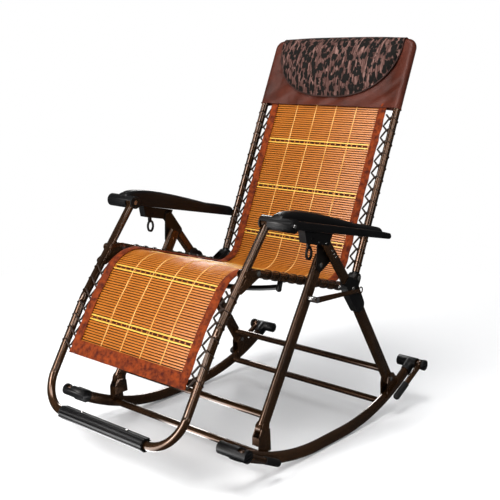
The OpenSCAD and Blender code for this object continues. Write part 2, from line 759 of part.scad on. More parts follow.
// Footrest, with a vent hole under its cross tube
vent_r = 2;
side_bend_r = 220;
foot_low = seat_pin + [-foot_reach, foot_z - seat_front_z];
foot_bend = seat_pin + [-134, -124];
module footrest_tube() {
  eye_r = arm_barrel_d / 2 - 4.5;
  top = arm_front_pin;
  below = top + unit(foot_bend - top) * (eye_r - 2);
  path = [at(tube_x, below), at(tube_x, foot_bend), at(tube_x, foot_low),
    at(-tube_x, foot_low), at(-tube_x, foot_bend), at(-tube_x, below)];
  bends = [0, side_bend_r, corner_r, corner_r, side_bend_r, 0];
  color(bronze) difference() {
    union() {
      difference() {
        bent_rod(path, bends, tube_r);
        bent_rod(path, bends, tube_r - tube_wall);
      }
      both_sides() cross_rod(tube_x - tube_r, tube_x + tube_r, top, eye_r);
    }
    both_sides() bolt_hole(tube_x - tube_r, tube_x + tube_r, top);
    translate([0, foot_low[0], foot_low[1] - tube_r - 1]) cylinder(h = tube_r, r = vent_r);
  }
}

module footrest_gussets() {
  d = unit(foot_bend - arm_front_pin);
  a = arm_front_pin + d * 146;
  b = arm_front_pin + d * 190;
  g = tube_r + plate_t + 0.9;
  color(bronze) both_sides() for (x = [tube_x - g, tube_x + g - plate_t])
    side_plate(x, x + plate_t) difference() {
      union() {
        disc(seat_pin, 11);
        link_outline(a, seat_pin, 10, 11);
        polygon([a, b, seat_pin + [4, -11], seat_pin]);
        link_outline(b, seat_pin, 8, 11);
      }
      disc(seat_pin, bolt_r + bolt_fit);
    }
}
module arm_front_bolts() {
  x0 = arm_barrel_x0 + 3.5;
  color(bright) both_sides() {
    cross_rod(x0, arm_barrel_x1 - 6, arm_front_pin, bolt_r);
    translate(at(x0 - 3, arm_front_pin)) rotate([0, 90, 0]) cylinder(h = 3, r = bolt_r * 1.7, $fn = 6);
  }
}

// Moulded foot cover with long ribs around the cross tube
module foot_cover() {
  r0 = tube_r + seat_gap;
  color(black) translate([-foot_cover_len / 2, foot_low[0], foot_low[1]]) rotate([90, 0, 90])
    linear_extrude(foot_cover_len) difference() {
      union() {
        circle(r = tube_r + 6);
        for (a = [16, 48, 100, 132, 164, 196]) rotate(a) translate([tube_r + 6, 0]) circle(r = 2.4, $fn = 16);
      }
      circle(r = r0);
      rotate(-90) translate([-6, 0]) square([12, 40]);
    }
}
module foot_screws() {
  d = [cos(74), sin(74)];
  color(bright) for (x = [-86, 86])
    rod(at(x, foot_low + d * (tube_r + 6.3)), at(x, foot_low + d * (tube_r + 9)), 4);
}

// Mat panels: a thin board through points of the side plane
function path_normal(p, i) = turn(unit(p[min(i + 1, len(p) - 1)] - p[max(i - 1, 0)]), 90) * mat_t / 2;
module mat_panel(p) {
  n = len(p) - 1;
  upper = [for (i = [0:n]) p[i] + path_normal(p, i)];
  lower = [for (i = [n:-1:0]) p[i] - path_normal(p, i)];
  color(mat_colour) side_plate(-mat_w / 2, mat_w / 2) polygon(concat(upper, lower));
}
module seat_mat() {
  mat_panel([seat_pin + [-26, -4], seat_pin + [-12, 1], seat_pin + seat_dir * 10,
    seat_pin + seat_dir * (seat_len - 80), seat_pin + seat_dir * (seat_len - 46) + seat_up * 4]);
}
module back_mat() {
  mat_panel([back_pin + back_dir * 12, back_pin + back_dir * (back_len - cover_len - 2)]);
}
module leg_mat() {
  mat_panel([leg_path(-150), foot_bend, leg_path(112)]);
}
// Point of the footrest tube's centre line, measured up from its side bend
function leg_path(d) = foot_bend + (d < 0 ? unit(foot_bend - foot_low) : unit(arm_front_pin - foot_bend)) * d;

// Lacing: one cord per side and panel, round the tube and back to the mat's edge
lace_r = lace_d / 2;
lace_wrap = (tube_r + lace_r + seat_gap) / cos(22.5);
lace_edge = tube_x - mat_w / 2 - lace_r - seat_gap;
lace_ring = [
  [-lace_edge, 0, 0], [-lace_edge + 10, 6, 0.3],
  for (k = [0:5]) [
    lace_wrap * cos(112.5 - 45 * k), lace_wrap * sin(112.5 - 45 * k), 0.7 - 0.08 * k
  ],
  [-lace_edge + 10, -6, 0.7]
];
function lace_points(p, n) =
  let (m = len(lace_ring))
  [for (k = [0:n * m]) let (l = lace_ring[k % m], s = (floor(k / m) + l[2]) * lace_pitch,
    d = s < norm(p[1] - p[0]) ? unit(p[1] - p[0]) : unit(p[2] - p[1]),
    c = (s < norm(p[1] - p[0]) ? p[0] + d * s : p[1] + d * (s - norm(p[1] - p[0]))) + turn(d, 90) * l[1])
    [tube_x + l[0], c[0], c[1]]];

function ring_frame(p, i, a) =
  let (t = unit(p[min(i + 1, len(p) - 1)] - p[max(i - 1, 0)]), n = unit(cross(t, a))) [n, cross(t, n)];
module lace(p, n) {
  c = lace_points(p, n);
  a = [0, unit(p[2] - p[0])[0], unit(p[2] - p[0])[1]];
  sides = 6;
  m = len(c);
  ring_points = [for (i = [0:m - 1]) let (f = ring_frame(c, i, a)) for (k = [0:sides - 1])
    c[i] + (f[0] * cos(k * 360 / sides) + f[1] * sin(k * 360 / sides)) * lace_r];
  walls = [for (i = [0:m - 2]) for (k = [0:sides - 1]) let (b = i * sides, e = (k + 1) % sides)
    each [[b + k, b + e, b + sides + e], [b + k, b + sides + e, b + sides + k]]];
  first = [for (k = [1:sides - 2]) [0, k + 1, k]];
  last = [for (k = [1:sides - 2]) [(m - 1) * sides, (m - 1) * sides + k, (m - 1) * sides + k + 1]];
  polyhedron(points = ring_points, faces = concat(walls, first, last));
}
// Least distance between strands of one winding, over points and the middles between them
function least_gap(c) =
  let (s = [for (i = [0:len(c) - 2]) each [c[i], (c[i] + c[i + 1]) / 2]])
  min([for (i = [0:len(s) - 1]) for (j = [i + 5:1:min(len(s) - 1, i + 40)]) norm(s[i] - s[j])]) - lace_d;

// The loops leave room at whole pitches for the bolts and for the cross bar
seat_loops = seat_front_loops + 1;
back_loops = 13;
leg_loops_low = 4;
leg_loops_high = 3;
seat_lace = [for (d = [0, 5, seat_loops]) seat_pin + seat_dir * (seat_lace_from + d * lace_pitch)];
back_lace = [for (d = [0, 5, back_loops]) back_pin + back_dir * (arm_rise + (d - 3) * lace_pitch)];
leg_lace = [for (d = [-leg_loops_low, 0, leg_loops_high]) leg_path(d * lace_pitch)];
module seat_lacing() {
  color(lace_colour) both_sides() lace(seat_lace, seat_loops);
}
module back_lacing() {
  color(lace_colour) both_sides() lace(back_lace, back_loops);
}
module leg_lacing() {
  color(lace_colour) both_sides() lace(leg_lace, leg_loops_low + leg_loops_high);
}
echo(least_lace_gap = min(least_gap(lace_points(seat_lace, seat_loops)), least_gap(lace_points(back_lace, back_loops)),
  least_gap(lace_points(leg_lace, leg_loops_low + leg_loops_high))));

// Headrest: a fabric pocket over the top of the back tube
cover_low = back_top - back_dir * cover_len;
cover_t = 3;
module headrest_cover() {
  pocket = [at(-tube_x, cover_low), at(-tube_x, back_top), at(tube_x, back_top), at(tube_x, cover_low)];
  color(cover_colour) difference() {
    union() {
      bent_rod(pocket, head_corner_r, tube_r + cover_t);
      cover_slab(8);
    }
    bent_rod(extended(pocket, 1), head_corner_r, tube_r + seat_gap);
  }
}
// Board with the outline of the U tube's top, in the backrest's plane
module cover_slab(t) {
  w = tube_x;
  r = head_corner_r;
  multmatrix([[1, 0, 0, 0], [0, back_dir[0], -back_dir[1], back_top[0]], [0, back_dir[1], back_dir[0], back_top[1]]])
    translate([0, 0, -t / 2]) linear_extrude(t) {
      translate([-w, -cover_len]) square([2 * w, cover_len - r]);
      translate([r - w, -r]) square([2 * w - 2 * r, r]);
      for (s = [-1, 1]) translate([s * (w - r), -r]) circle(r = r, $fn = 96);
    }
}
// Pillow: a quilted half moon that hangs down in front and laps over the tube's top.
// Each column across is a closed ring of points: over the lip, down the front and up the flat back.
pillow_w = 450;
pillow_h = 178;
pillow_t = 30;
pillow_lap = 100;
pillow_columns = 24;
pillow_rows = 10;
pillow_back_r = tube_r + cover_t + seat_gap;
// Fullness at a share u of the half width, and the length of the front below the tube's centre
function pillow_full(u) = 0.22 + 0.78 * pow(1 - pow(abs(u), 3), 0.6);
function pillow_drop(u) = 12 + (pillow_h - 12) * pow(1 - pow(abs(u), 2.6), 0.52);
// Points of one column as [along the backrest, in front of it]
function pillow_ring(u) =
  let (f = pillow_full(u), h = pillow_drop(u), lip = 5 * f + 1.5)
  concat(
    [for (k = [0:5]) let (a = pillow_lap * (1 - k / 5))
      [sin(a), cos(a)] * (pillow_back_r + lip + (pillow_t * 0.35 * f - lip) * pow(k / 5, 2))],
    [for (k = [1:pillow_rows]) let (t = k / pillow_rows, crown = 0.35 + 0.65 * pow(sin(180 * pow(t, 0.75)), 0.8))
      [-h * t, pillow_back_r + 0.6 + pillow_t * f * crown * pow(1 - pow(t, 6), 0.7)]],
    [for (k = [pillow_rows:-1:0]) [-h * k / pillow_rows + (k == pillow_rows ? 1.5 : 0), pillow_back_r]],
    [for (k = [1:5]) let (a = pillow_lap * k / 5) [sin(a), cos(a)] * pillow_back_r]
  );
module headrest_pillow() {
  front = [-back_dir[1], back_dir[0]];
  n = len(pillow_ring(0));
  columns = [for (i = [0:pillow_columns]) let (u = sin(90 * (2 * i / pillow_columns - 1))) [u, pillow_ring(u)]];
  ring_points = [for (c = columns) for (q = c[1])
    at(c[0] * pillow_w / 2, back_top + back_dir * q[0] + front * q[1])];
  walls = [for (i = [0:pillow_columns - 1]) for (k = [0:n - 1]) let (b = i * n, e = (k + 1) % n)
    each [[b + k, b + n + e, b + e], [b + k, b + n + k, b + n + e]]];
  first = [for (k = [1:n - 2]) [0, k, k + 1]];
  last = [for (k = [1:n - 2]) let (b = pillow_columns * n) [b, b + k + 1, b + k]];
  color(pillow_colour) polyhedron(points = ring_points, faces = concat(walls, first, last));
}

// Armrests: a straight rail with an arched pad on its inner part and a slotted barrel in front
arm_x0 = tube_x + tube_r + seat_gap + lace_d + 1;
arm_barrel_x1 = arm_x0 + arm_w + 10;
arm_barrel_x0 = arm_barrel_x1 - arm_barrel_len;
arm_back = norm(arm_rear_pin - arm_front_pin) + 16;
pad_back = arm_back - 9;
pad_share = 0.6;
// Rise of the top at a share t of its length
function arm_rise_at(t, top, arch) = top - 3 * pow(t, 12) + arch * sin(180 * min(1, pow(t / 0.72, 0.62)));
module arm_rail_side() {
  n = 14;
  polygon(concat([arm_point(-16, 4), arm_point(-13, arm_rail * 0.65), arm_point(-6, arm_rail * 0.92)],
    [for (i = [0:n]) arm_point(3 + (arm_back - 3) * i / n, arm_rise_at(i / n, arm_rail, 0))],
    [arm_point(arm_back, arm_under(arm_back)), arm_point(0, arm_under(0))]));
  disc(arm_rear_pin, bolt_r + 5);
}
module arm_pad_side() {
  n = 28;
  polygon(concat([arm_point(-9, 2), arm_point(-10.5, arm_rail), arm_point(-9, arm_top * 0.74), arm_point(-4, arm_top * 0.94)],
    [for (i = [0:n]) arm_point(3 + (pad_back - 3) * i / n, arm_rise_at(i / n, arm_top, arm_arch))],
    [arm_point(pad_back - 1, 3)]));
}
module armrest(s) {
  slot_x0 = tube_x - tube_r - 0.5;
  slot_x1 = tube_x + tube_r + 0.5;
  color(black) one_side(s) difference() {
    union() {
      side_plate(arm_x0, arm_x0 + arm_w) arm_rail_side();
      side_plate(arm_x0, arm_x0 + arm_w * pad_share) arm_pad_side();
      cross_rod(arm_barrel_x0, arm_barrel_x1, arm_front_pin, arm_barrel_d / 2);
    }
    cross_rod(slot_x0, slot_x1, arm_front_pin, arm_barrel_d / 2 - 2);
    slot_sector(slot_x0, slot_x1);
    bolt_hole(arm_barrel_x0, arm_barrel_x1 - 7, arm_front_pin);
    cross_rod(arm_barrel_x0 - 1, slot_x0 + 1, arm_front_pin, bolt_r * 1.7 + 0.6);
    cross_rod(arm_x0 - 1, arm_x0 + 15, arm_rear_pin, bolt_r + bolt_fit);
  }
}
// Wedge of the barrel that the footrest tube sweeps
module slot_sector(x0, x1) {
  r = arm_barrel_d;
  side_plate(x0, x1) polygon([arm_front_pin,
    for (k = [0:9]) let (a = 157 + 121 * k / 9) arm_front_pin + [cos(a), sin(a)] * r]);
}

rear_leg(-1);  // rear_leg_left
rear_leg(1);  // rear_leg_right
rear_strut(-1);  // rear_strut_left
rear_strut(1);  // rear_strut_right
knee_sleeves();
upper_rear_bar();
lock_housing(-1);  // lock_housing_left
lock_housing(1);  // lock_housing_right
gusset_plates();
lock_rivets();
frame_bolts();
rocker(-1);  // rocker_left
rocker(1);  // rocker_right
rocker_caps_front();
rocker_caps_rear();
lower_front_bar();
lower_rear_bar();
front_foot_brackets();
rear_foot_brackets();
front_leg(-1);  // front_leg_left
front_leg(1);  // front_leg_right
upper_front_bar();
brace_bolts();
brace_link(-1);  // brace_link_left
brace_link(1);  // brace_link_right
seat_rail(-1);  // seat_rail_left
seat_rail(1);  // seat_rail_right
seat_cross_bar();
back_brackets();
seat_front_bolts();
seat_mat();
seat_lacing();
back_tube();
back_cups();
back_hinge_bolts();
arm_rear_bolts();
back_mat();
back_lacing();
headrest_cover();
headrest_pillow();
footrest_tube();
footrest_gussets();
arm_front_bolts();
foot_cover();
foot_screws();
leg_mat();
leg_lacing();
armrest(-1);  // armrest_left
armrest(1);  // armrest_right
stop_tube(-1, front_stop_pin, front_stop_dir);  // stop_tube_front_left
stop_tube(1, front_stop_pin, front_stop_dir);  // stop_tube_front_right
stop_tube(-1, rear_stop_pin, rear_stop_dir);  // stop_tube_rear_left
stop_tube(1, rear_stop_pin, rear_stop_dir);  // stop_tube_rear_right
stop_tip(-1, front_stop_pin, front_stop_dir);  // stop_tip_front_left
stop_tip(1, front_stop_pin, front_stop_dir);  // stop_tip_front_right
stop_tip(-1, rear_stop_pin, rear_stop_dir);  // stop_tip_rear_left
stop_tip(1, rear_stop_pin, rear_stop_dir);  // stop_tip_rear_right
lock_lever(-1);  // lock_lever_left
lock_lever(1);  // lock_lever_right
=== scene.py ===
import json
import math
import random

import bpy
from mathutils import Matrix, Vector

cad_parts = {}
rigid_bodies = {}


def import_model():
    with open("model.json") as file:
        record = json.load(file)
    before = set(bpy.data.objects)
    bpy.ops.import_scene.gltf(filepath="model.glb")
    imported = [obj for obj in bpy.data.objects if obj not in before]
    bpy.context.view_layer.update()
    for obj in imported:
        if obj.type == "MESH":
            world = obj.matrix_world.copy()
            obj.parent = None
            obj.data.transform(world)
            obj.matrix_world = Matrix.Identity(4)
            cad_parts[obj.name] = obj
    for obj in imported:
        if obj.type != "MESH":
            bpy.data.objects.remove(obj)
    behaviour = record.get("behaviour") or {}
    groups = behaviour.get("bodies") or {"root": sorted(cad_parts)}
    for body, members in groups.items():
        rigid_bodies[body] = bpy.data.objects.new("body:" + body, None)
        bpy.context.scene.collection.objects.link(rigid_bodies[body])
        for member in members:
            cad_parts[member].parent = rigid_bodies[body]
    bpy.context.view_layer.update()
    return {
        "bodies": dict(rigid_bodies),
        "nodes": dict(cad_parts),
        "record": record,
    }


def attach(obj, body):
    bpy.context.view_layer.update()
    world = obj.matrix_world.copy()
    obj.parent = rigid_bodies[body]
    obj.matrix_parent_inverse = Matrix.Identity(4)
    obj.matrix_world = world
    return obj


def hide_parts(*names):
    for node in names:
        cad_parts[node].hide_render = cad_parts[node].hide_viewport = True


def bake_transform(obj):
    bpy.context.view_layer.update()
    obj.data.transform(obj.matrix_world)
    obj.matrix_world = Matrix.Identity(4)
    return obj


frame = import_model()
nodes = frame["nodes"]
random.seed(7)
print("frame loaded")


def deselectAll():
    if bpy.context.object and bpy.context.object.mode != "OBJECT":
        bpy.ops.object.mode_set(mode="OBJECT")
    bpy.ops.object.select_all(action="DESELECT")


def only(obj):
    deselectAll()
    obj.select_set(True)
    bpy.context.view_layer.objects.active = obj
    return obj


def join(objects, name):
    deselectAll()
    for obj in objects:
        obj.select_set(True)
    bpy.context.view_layer.objects.active = objects[0]
    if len(objects) > 1:
        bpy.ops.object.join()
    bpy.context.object.name = name
    return bpy.context.object


def finish(obj, mat, body, replaces=(), angle=38):  # material, shading and body of a piece, and the nodes it replaces are hidden
    obj.data.materials.clear()
    obj.data.materials.append(mat)
    only(obj)
    bpy.ops.object.shade_smooth_by_angle(angle=math.radians(angle))
    if isinstance(body, str):
        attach(obj, body)
    else:
        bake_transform(obj)
    if replaces:
        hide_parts(*replaces)
    return obj


def applyModifiers(obj):
    only(obj)
    for m in list(obj.modifiers):
        bpy.ops.object.modifier_apply(modifier=m.name)


def thicken(obj, thickness, levels=0):
    if levels:
        m = obj.modifiers.new("smooth", "SUBSURF")
        m.levels = m.render_levels = levels
    m = obj.modifiers.new("cloth", "SOLIDIFY")
    m.thickness = thickness
    m.offset = -1
    m.use_even_offset = True
    applyModifiers(obj)


# merges doubles, closes open ends where caps is set, and turns the faces outwards
def tidyMesh(obj, threshold, caps=False):
    only(obj)
    bpy.ops.object.mode_set(mode="EDIT")
    bpy.ops.mesh.select_all(action="SELECT")
    bpy.ops.mesh.remove_doubles(threshold=threshold)
    if caps:
        bpy.ops.mesh.select_all(action="DESELECT")
        bpy.ops.mesh.select_non_manifold()
        bpy.ops.mesh.edge_face_add()
    bpy.ops.mesh.select_all(action="SELECT")
    bpy.ops.mesh.normals_make_consistent(inside=False)
    bpy.ops.object.mode_set(mode="OBJECT")


def gridPiece(name, across, along, place):  # a grid laid out by place(u, v), u and v from 0 to 1
    deselectAll()
    bpy.ops.mesh.primitive_grid_add(x_subdivisions=across, y_subdivisions=along, size=1)
    obj = bpy.context.object
    obj.name = name
    for v in obj.data.vertices:
        v.co = Vector(place(v.co.x + 0.5, v.co.y + 0.5))
    return obj


def tubePiece(name, lines, radius, sides=8, widths=None):  # round cords along lists of points
    curve = bpy.data.curves.new(name, "CURVE")
    curve.dimensions = "3D"
    curve.bevel_depth = radius
    curve.bevel_resolution = max(0, sides // 2 - 1)
    curve.use_fill_caps = True
    for line in lines:
        spline = curve.splines.new("POLY")
        spline.points.add(len(line) - 1)
        for i, (p, co) in enumerate(zip(spline.points, line)):
            p.co = (*co, 1)
            p.radius = widths[i % len(widths)] if widths else 1.0
    obj = bpy.data.objects.new(name, curve)
    bpy.context.collection.objects.link(obj)
    only(obj)
    bpy.ops.object.convert(target="MESH")
    return bpy.context.object


def smoothNoise(x, y, seed=0):  # value noise from -1 to 1, for folds
    def corner(i, j):
        n = math.sin(i * 127.1 + j * 311.7 + seed * 74.7) * 43758.5453
        return n - math.floor(n)
    i, j = math.floor(x), math.floor(y)
    fx, fy = x - i, y - j
    fx, fy = fx * fx * (3 - 2 * fx), fy * fy * (3 - 2 * fy)
    a = corner(i, j) * (1 - fx) + corner(i + 1, j) * fx
    b = corner(i, j + 1) * (1 - fx) + corner(i + 1, j + 1) * fx
    return (a * (1 - fy) + b * fy) * 2 - 1


def inPlane(y, z):  # a point or direction in the chair's side plane
    return Vector((0, y, z))


# the pivots and directions of the solids, in metres and degrees
frameSpec = {"seatFall": 15.8, "backLean": 23.2, "seatPin": (-0.214, 0.526), "backPin": (0.446, 0.031),
             "backLong": 0.712, "armLift": 0.1295, "footBend": (-0.134, -0.124),
             "footLow": (-0.285, -0.383), "tubeX": 0.250, "tubeR": 0.011}
fall, lean = math.radians(frameSpec["seatFall"]), math.radians(frameSpec["backLean"])
seatDir = inPlane(math.cos(fall), -math.sin(fall))
seatUp = inPlane(-seatDir.z, seatDir.y)
seatPin = inPlane(*frameSpec["seatPin"])
backDir = inPlane(math.sin(lean), math.cos(lean))
backOut = inPlane(-backDir.z, backDir.y)  # towards the sitter
backPin = seatPin + seatDir * frameSpec["backPin"][0] + seatUp * frameSpec["backPin"][1]
backTop = backPin + backDir * frameSpec["backLong"]
armFront = seatPin + backDir * frameSpec["armLift"]
armRear = backPin + backDir * frameSpec["armLift"]
armDir = (armRear - armFront).normalized()
armUp = inPlane(-armDir.z, armDir.y)
footBend = seatPin + inPlane(*frameSpec["footBend"])
footLow = seatPin + inPlane(*frameSpec["footLow"])
footDir = (footLow - footBend).normalized()
legUp = (armFront - footBend).normalized()
tubeX, tubeR = frameSpec["tubeX"], frameSpec["tubeR"]


def hexColour(text):  # sRGB hex to linear
    parts = [int(text[i:i + 2], 16) / 255 for i in (1, 3, 5)]
    linear = [c / 12.92 if c <= 0.04045 else ((c + 0.055) / 1.055) ** 2.4 for c in parts]
    return (*linear, 1.0)


def newMaterial(name, **values):
    mat = bpy.data.materials.new(name)
    mat.use_nodes = True
    shader = mat.node_tree.nodes["Principled BSDF"]
    for key, value in values.items():
        shader.inputs[key.replace("_", " ")].default_value = value
    return mat, shader


def link(mat, source, socket):  # from a node's first output, or from the output that is given
    mat.node_tree.links.new(source.outputs[0] if hasattr(source, "outputs") else source, socket)


# a node with its settings by socket or property, its result linked on, and its inputs by name or i0, i1
def addNode(mat, kind, settings=None, to=None, **links):
    node = mat.node_tree.nodes.new(kind)
    for key, value in (settings or {}).items():
        if key == "stops":  # places and colours of a ramp
            ends = node.color_ramp.elements
            while len(ends) < len(value):
                ends.new(0.5)
            for end, (place, colour) in zip(ends, value):
                end.position = place
                end.color = hexColour(colour)
        elif isinstance(key, int) or key in node.inputs:
            node.inputs[key].default_value = value
        else:
            setattr(node, key, value)
    for key, source in links.items():
        name = key.replace("_", " ")
        link(mat, source, node.inputs[name if name in node.inputs else int(key[1:])])
    if to:
        link(mat, node, to)
    return node


def patternPlace(mat, scale=(1, 1, 1), rotation=(0, 0, 0), source="Object"):
    coords = addNode(mat, "ShaderNodeTexCoord")
    return addNode(mat, "ShaderNodeMapping", {"Scale": scale, "Rotation": rotation},
                   Vector=coords.outputs[source])


def bronzeCoat():  # glossy bronze powder coat on steel tube: deep brown with a sharp light line
    mat, shader = newMaterial("bronzePowderCoat", Metallic=0.7, Roughness=0.22,
                              Coat_Weight=0.5, Coat_Roughness=0.06)
    where = patternPlace(mat)
    cloud = addNode(mat, "ShaderNodeTexNoise", {"Scale": 9.0, "Detail": 3.0}, Vector=where)
    addNode(mat, "ShaderNodeValToRGB", {"stops": [(0.3, "#33200f"), (0.7, "#4b3019")]},
            to=shader.inputs["Base Color"], Fac=cloud)
    peel = addNode(mat, "ShaderNodeTexNoise", {"Scale": 900.0, "Detail": 1.0}, Vector=where)
    addNode(mat, "ShaderNodeBump", {"Strength": 0.05, "Distance": 0.0002},  # 1.1 mm orange peel
            to=shader.inputs["Normal"], Height=peel)
    return mat


# moulded black plastic or rubber, with its grain given per metre
def blackMoulding(name, low, high, rough, grain, strength):
    mat, shader = newMaterial(name, IOR=1.45, Specular_IOR_Level=0.3)
    where = patternPlace(mat)
    cloud = addNode(mat, "ShaderNodeTexNoise", {"Scale": 14.0, "Detail": 4.0}, Vector=where)
    addNode(mat, "ShaderNodeValToRGB", {"stops": [(0.3, low), (0.75, high)]},
            to=shader.inputs["Base Color"], Fac=cloud)
    addNode(mat, "ShaderNodeMapRange", {"To Min": rough - 0.06, "To Max": rough + 0.06},
            to=shader.inputs["Roughness"], Value=cloud)
    fine = addNode(mat, "ShaderNodeTexNoise", {"Scale": grain, "Detail": 2.0}, Vector=where)
    addNode(mat, "ShaderNodeBump", {"Strength": strength, "Distance": 0.0002},
            to=shader.inputs["Normal"], Height=fine)
    return mat


def zincPlate():  # zinc-plated fasteners: bright grey metal, slightly cloudy at about 3 mm
    mat, shader = newMaterial("zincPlate", Metallic=1.0)
    where = patternPlace(mat)
    cloud = addNode(mat, "ShaderNodeTexNoise", {"Scale": 320.0, "Detail": 3.0}, Vector=where)
    addNode(mat, "ShaderNodeValToRGB", {"stops": [(0.3, "#b9babc"), (0.7, "#e8e8e6")]},
            to=shader.inputs["Base Color"], Fac=cloud)
    addNode(mat, "ShaderNodeMapRange", {"To Min": 0.14, "To Max": 0.32},
            to=shader.inputs["Roughness"], Value=cloud)
    addNode(mat, "ShaderNodeBump", {"Strength": 0.03, "Distance": 0.0001},
            to=shader.inputs["Normal"], Height=cloud)
    return mat


# bamboo slats: long fibres 0.4 mm wide that run on for 10 cm, and a tone of its own for each 7 mm slat
def bambooSlat(name, dark, mid, light):
    mat, shader = newMaterial(name, Roughness=0.4, IOR=1.45, Coat_Weight=0.15, Coat_Roughness=0.25)
    fibre = patternPlace(mat, (9.0, 260.0, 1.0), source="UV")
    grain = addNode(mat, "ShaderNodeTexNoise", {"Scale": 3.0, "Detail": 5.0, "Roughness": 0.65},
                    Vector=fibre)
    perSlat = patternPlace(mat, (0.0, 142.857, 1.0), source="UV")
    step = addNode(mat, "ShaderNodeVectorMath", {"operation": "FLOOR"}, i0=perSlat)
    slatTone = addNode(mat, "ShaderNodeTexWhiteNoise", {"noise_dimensions": "3D"}, Vector=step)
    fibreTone = addNode(mat, "ShaderNodeMath", {"operation": "MULTIPLY", 1: 0.6}, i0=grain)
    both = addNode(mat, "ShaderNodeMath", {"operation": "MULTIPLY_ADD", 1: 0.42},
                   i0=slatTone.outputs["Value"], i2=fibreTone)
    addNode(mat, "ShaderNodeValToRGB", {"stops": [(0.18, dark), (0.48, mid), (0.8, light)]},
            to=shader.inputs["Base Color"], Fac=both)
    addNode(mat, "ShaderNodeBump", {"Strength": 0.25, "Distance": 0.0003},
            to=shader.inputs["Normal"], Height=grain)
    return mat


# plain weave with its threads given per metre, and clouds of tone given per metre too
def wovenCloth(name, dark, light, threads, rough, mottle=18.0):
    mat, shader = newMaterial(name, Roughness=rough, IOR=1.35, Specular_IOR_Level=0.3)
    where = patternPlace(mat)
    cloud = addNode(mat, "ShaderNodeTexNoise", {"Scale": mottle, "Detail": 5.0, "Roughness": 0.6},
                    Vector=where)
    addNode(mat, "ShaderNodeValToRGB", {"stops": [(0.36, dark), (0.64, light)]},
            to=shader.inputs["Base Color"], Fac=cloud)
    warp, weft = (addNode(mat, "ShaderNodeTexWave", {"Scale": threads / 6.283, "bands_direction": way},
                          Vector=where) for way in ("X", "Z"))
    both = addNode(mat, "ShaderNodeMath", {"operation": "MULTIPLY"},
                   i0=warp.outputs["Fac"], i1=weft.outputs["Fac"])
    addNode(mat, "ShaderNodeBump", {"Strength": 0.35, "Distance": 0.0004},
            to=shader.inputs["Normal"], Height=both)
    return mat


# dark leaf shapes of 10 to 30 mm: stretched cells, each with one soft-edged spot
def leafShapes(mat, scale, rotation, size):
    where = patternPlace(mat, scale, rotation)
    bend = addNode(mat, "ShaderNodeTexNoise", {"Scale": 2.4, "Detail": 2.0}, Vector=where)
    moved = addNode(mat, "ShaderNodeVectorMath", {"operation": "MULTIPLY_ADD", 1: (0.7, 0.7, 0.7)},
                    i0=bend.outputs["Color"], i2=where)
    cell = addNode(mat, "ShaderNodeTexVoronoi", {"Scale": 1.0}, Vector=moved)
    edge = {"From Min": size, "From Max": size + 0.07, "To Min": 1.0, "To Max": 0.0}
    return addNode(mat, "ShaderNodeMapRange", edge, Value=cell.outputs["Distance"])


def printedCloth():  # brushed polyester print: dusty brown, fine light streaks, dark leaves and blots
    mat, shader = newMaterial("printedCloth", Roughness=0.8, IOR=1.35, Specular_IOR_Level=0.2)
    along = patternPlace(mat, (420.0, 22.0, 22.0), (0.4, 0.0, 0.12))  # streaks 2 mm wide
    streaks = addNode(mat, "ShaderNodeTexNoise", {"Scale": 1.0, "Detail": 3.0, "Roughness": 0.6},
                      Vector=along)
    ground = addNode(mat, "ShaderNodeValToRGB", {"stops": [
        (0.33, "#291714"), (0.46, "#452e29"), (0.57, "#5f443e"), (0.68, "#94736a")]}, Fac=streaks)
    leaves = [leafShapes(mat, scale, (0.4, turn, 0.0), size) for scale, turn, size in (
        ((80.0, 30.0, 34.0), 0.75, 0.38), ((70.0, 34.0, 31.0), -0.7, 0.35),
        ((42.0, 42.0, 38.0), 0.1, 0.32))]
    some = addNode(mat, "ShaderNodeMath", {"operation": "MAXIMUM"}, i0=leaves[0], i1=leaves[1])
    mask = addNode(mat, "ShaderNodeMath", {"operation": "MAXIMUM"}, i0=some, i1=leaves[2])
    inked = addNode(mat, "ShaderNodeMix", {"data_type": "RGBA", 7: hexColour("#0b0a08")},
                    i0=mask, i6=ground)
    link(mat, inked.outputs[2], shader.inputs["Base Color"])
    nap = addNode(mat, "ShaderNodeTexNoise", {"Scale": 1100.0, "Detail": 2.0}, Vector=patternPlace(mat))
    addNode(mat, "ShaderNodeBump", {"Strength": 0.3, "Distance": 0.0004},
            to=shader.inputs["Normal"], Height=nap)
    return mat


bronze = bronzeCoat()
nylon = blackMoulding("blackNylon", "#060607", "#0c0c0d", 0.42, 1600.0, 0.12)  # satin, 0.6 mm grain
enamel = blackMoulding("blackEnamel", "#080706", "#15100d", 0.3, 300.0, 0.05)  # stoved, on steel plates
rubber = blackMoulding("blackRubber", "#0a0a0a", "#161515", 0.6, 700.0, 0.15)  # dull tips
zinc = zincPlate()
slatWood = bambooSlat("carbonisedBamboo", "#7d390c", "#a65b13", "#c57e26")  # amber to brown by the slat
paleWood = bambooSlat("paleBamboo", "#c08426", "#dba63e", "#ecc060")  # straw-yellow marker slats
borderCloth = wovenCloth("borderPolyester", "#3c1003", "#7d320b", 700, 0.85, 60.0)  # mottled, dull
gapShadeCloth = wovenCloth("gapShadeNet", "#160601", "#2a0f03", 500, 0.85)  # nearly black sheet: painted shade between the slats
yarn = wovenCloth("brownYarn", "#2a0c04", "#47190a", 800, 0.8)  # dull dashes along the bands
threadCotton = wovenCloth("threadCotton", "#cf9448", "#ecbd78", 2500, 0.7)  # pale yellow lines
cordElastic = wovenCloth("elasticCord", "#1a120d", "#2c1e16", 1800, 0.55, 200.0)  # braided, faint gloss
coverSatin = wovenCloth("coverSatin", "#30130b", "#4e2216", 1500, 0.42, 7.0)  # soft gloss on the folds
pillowPrint = printedCloth()
pipingCloth = wovenCloth("pipingCotton", "#1c100d", "#2e1a15", 1500, 0.6)  # nearly black rim

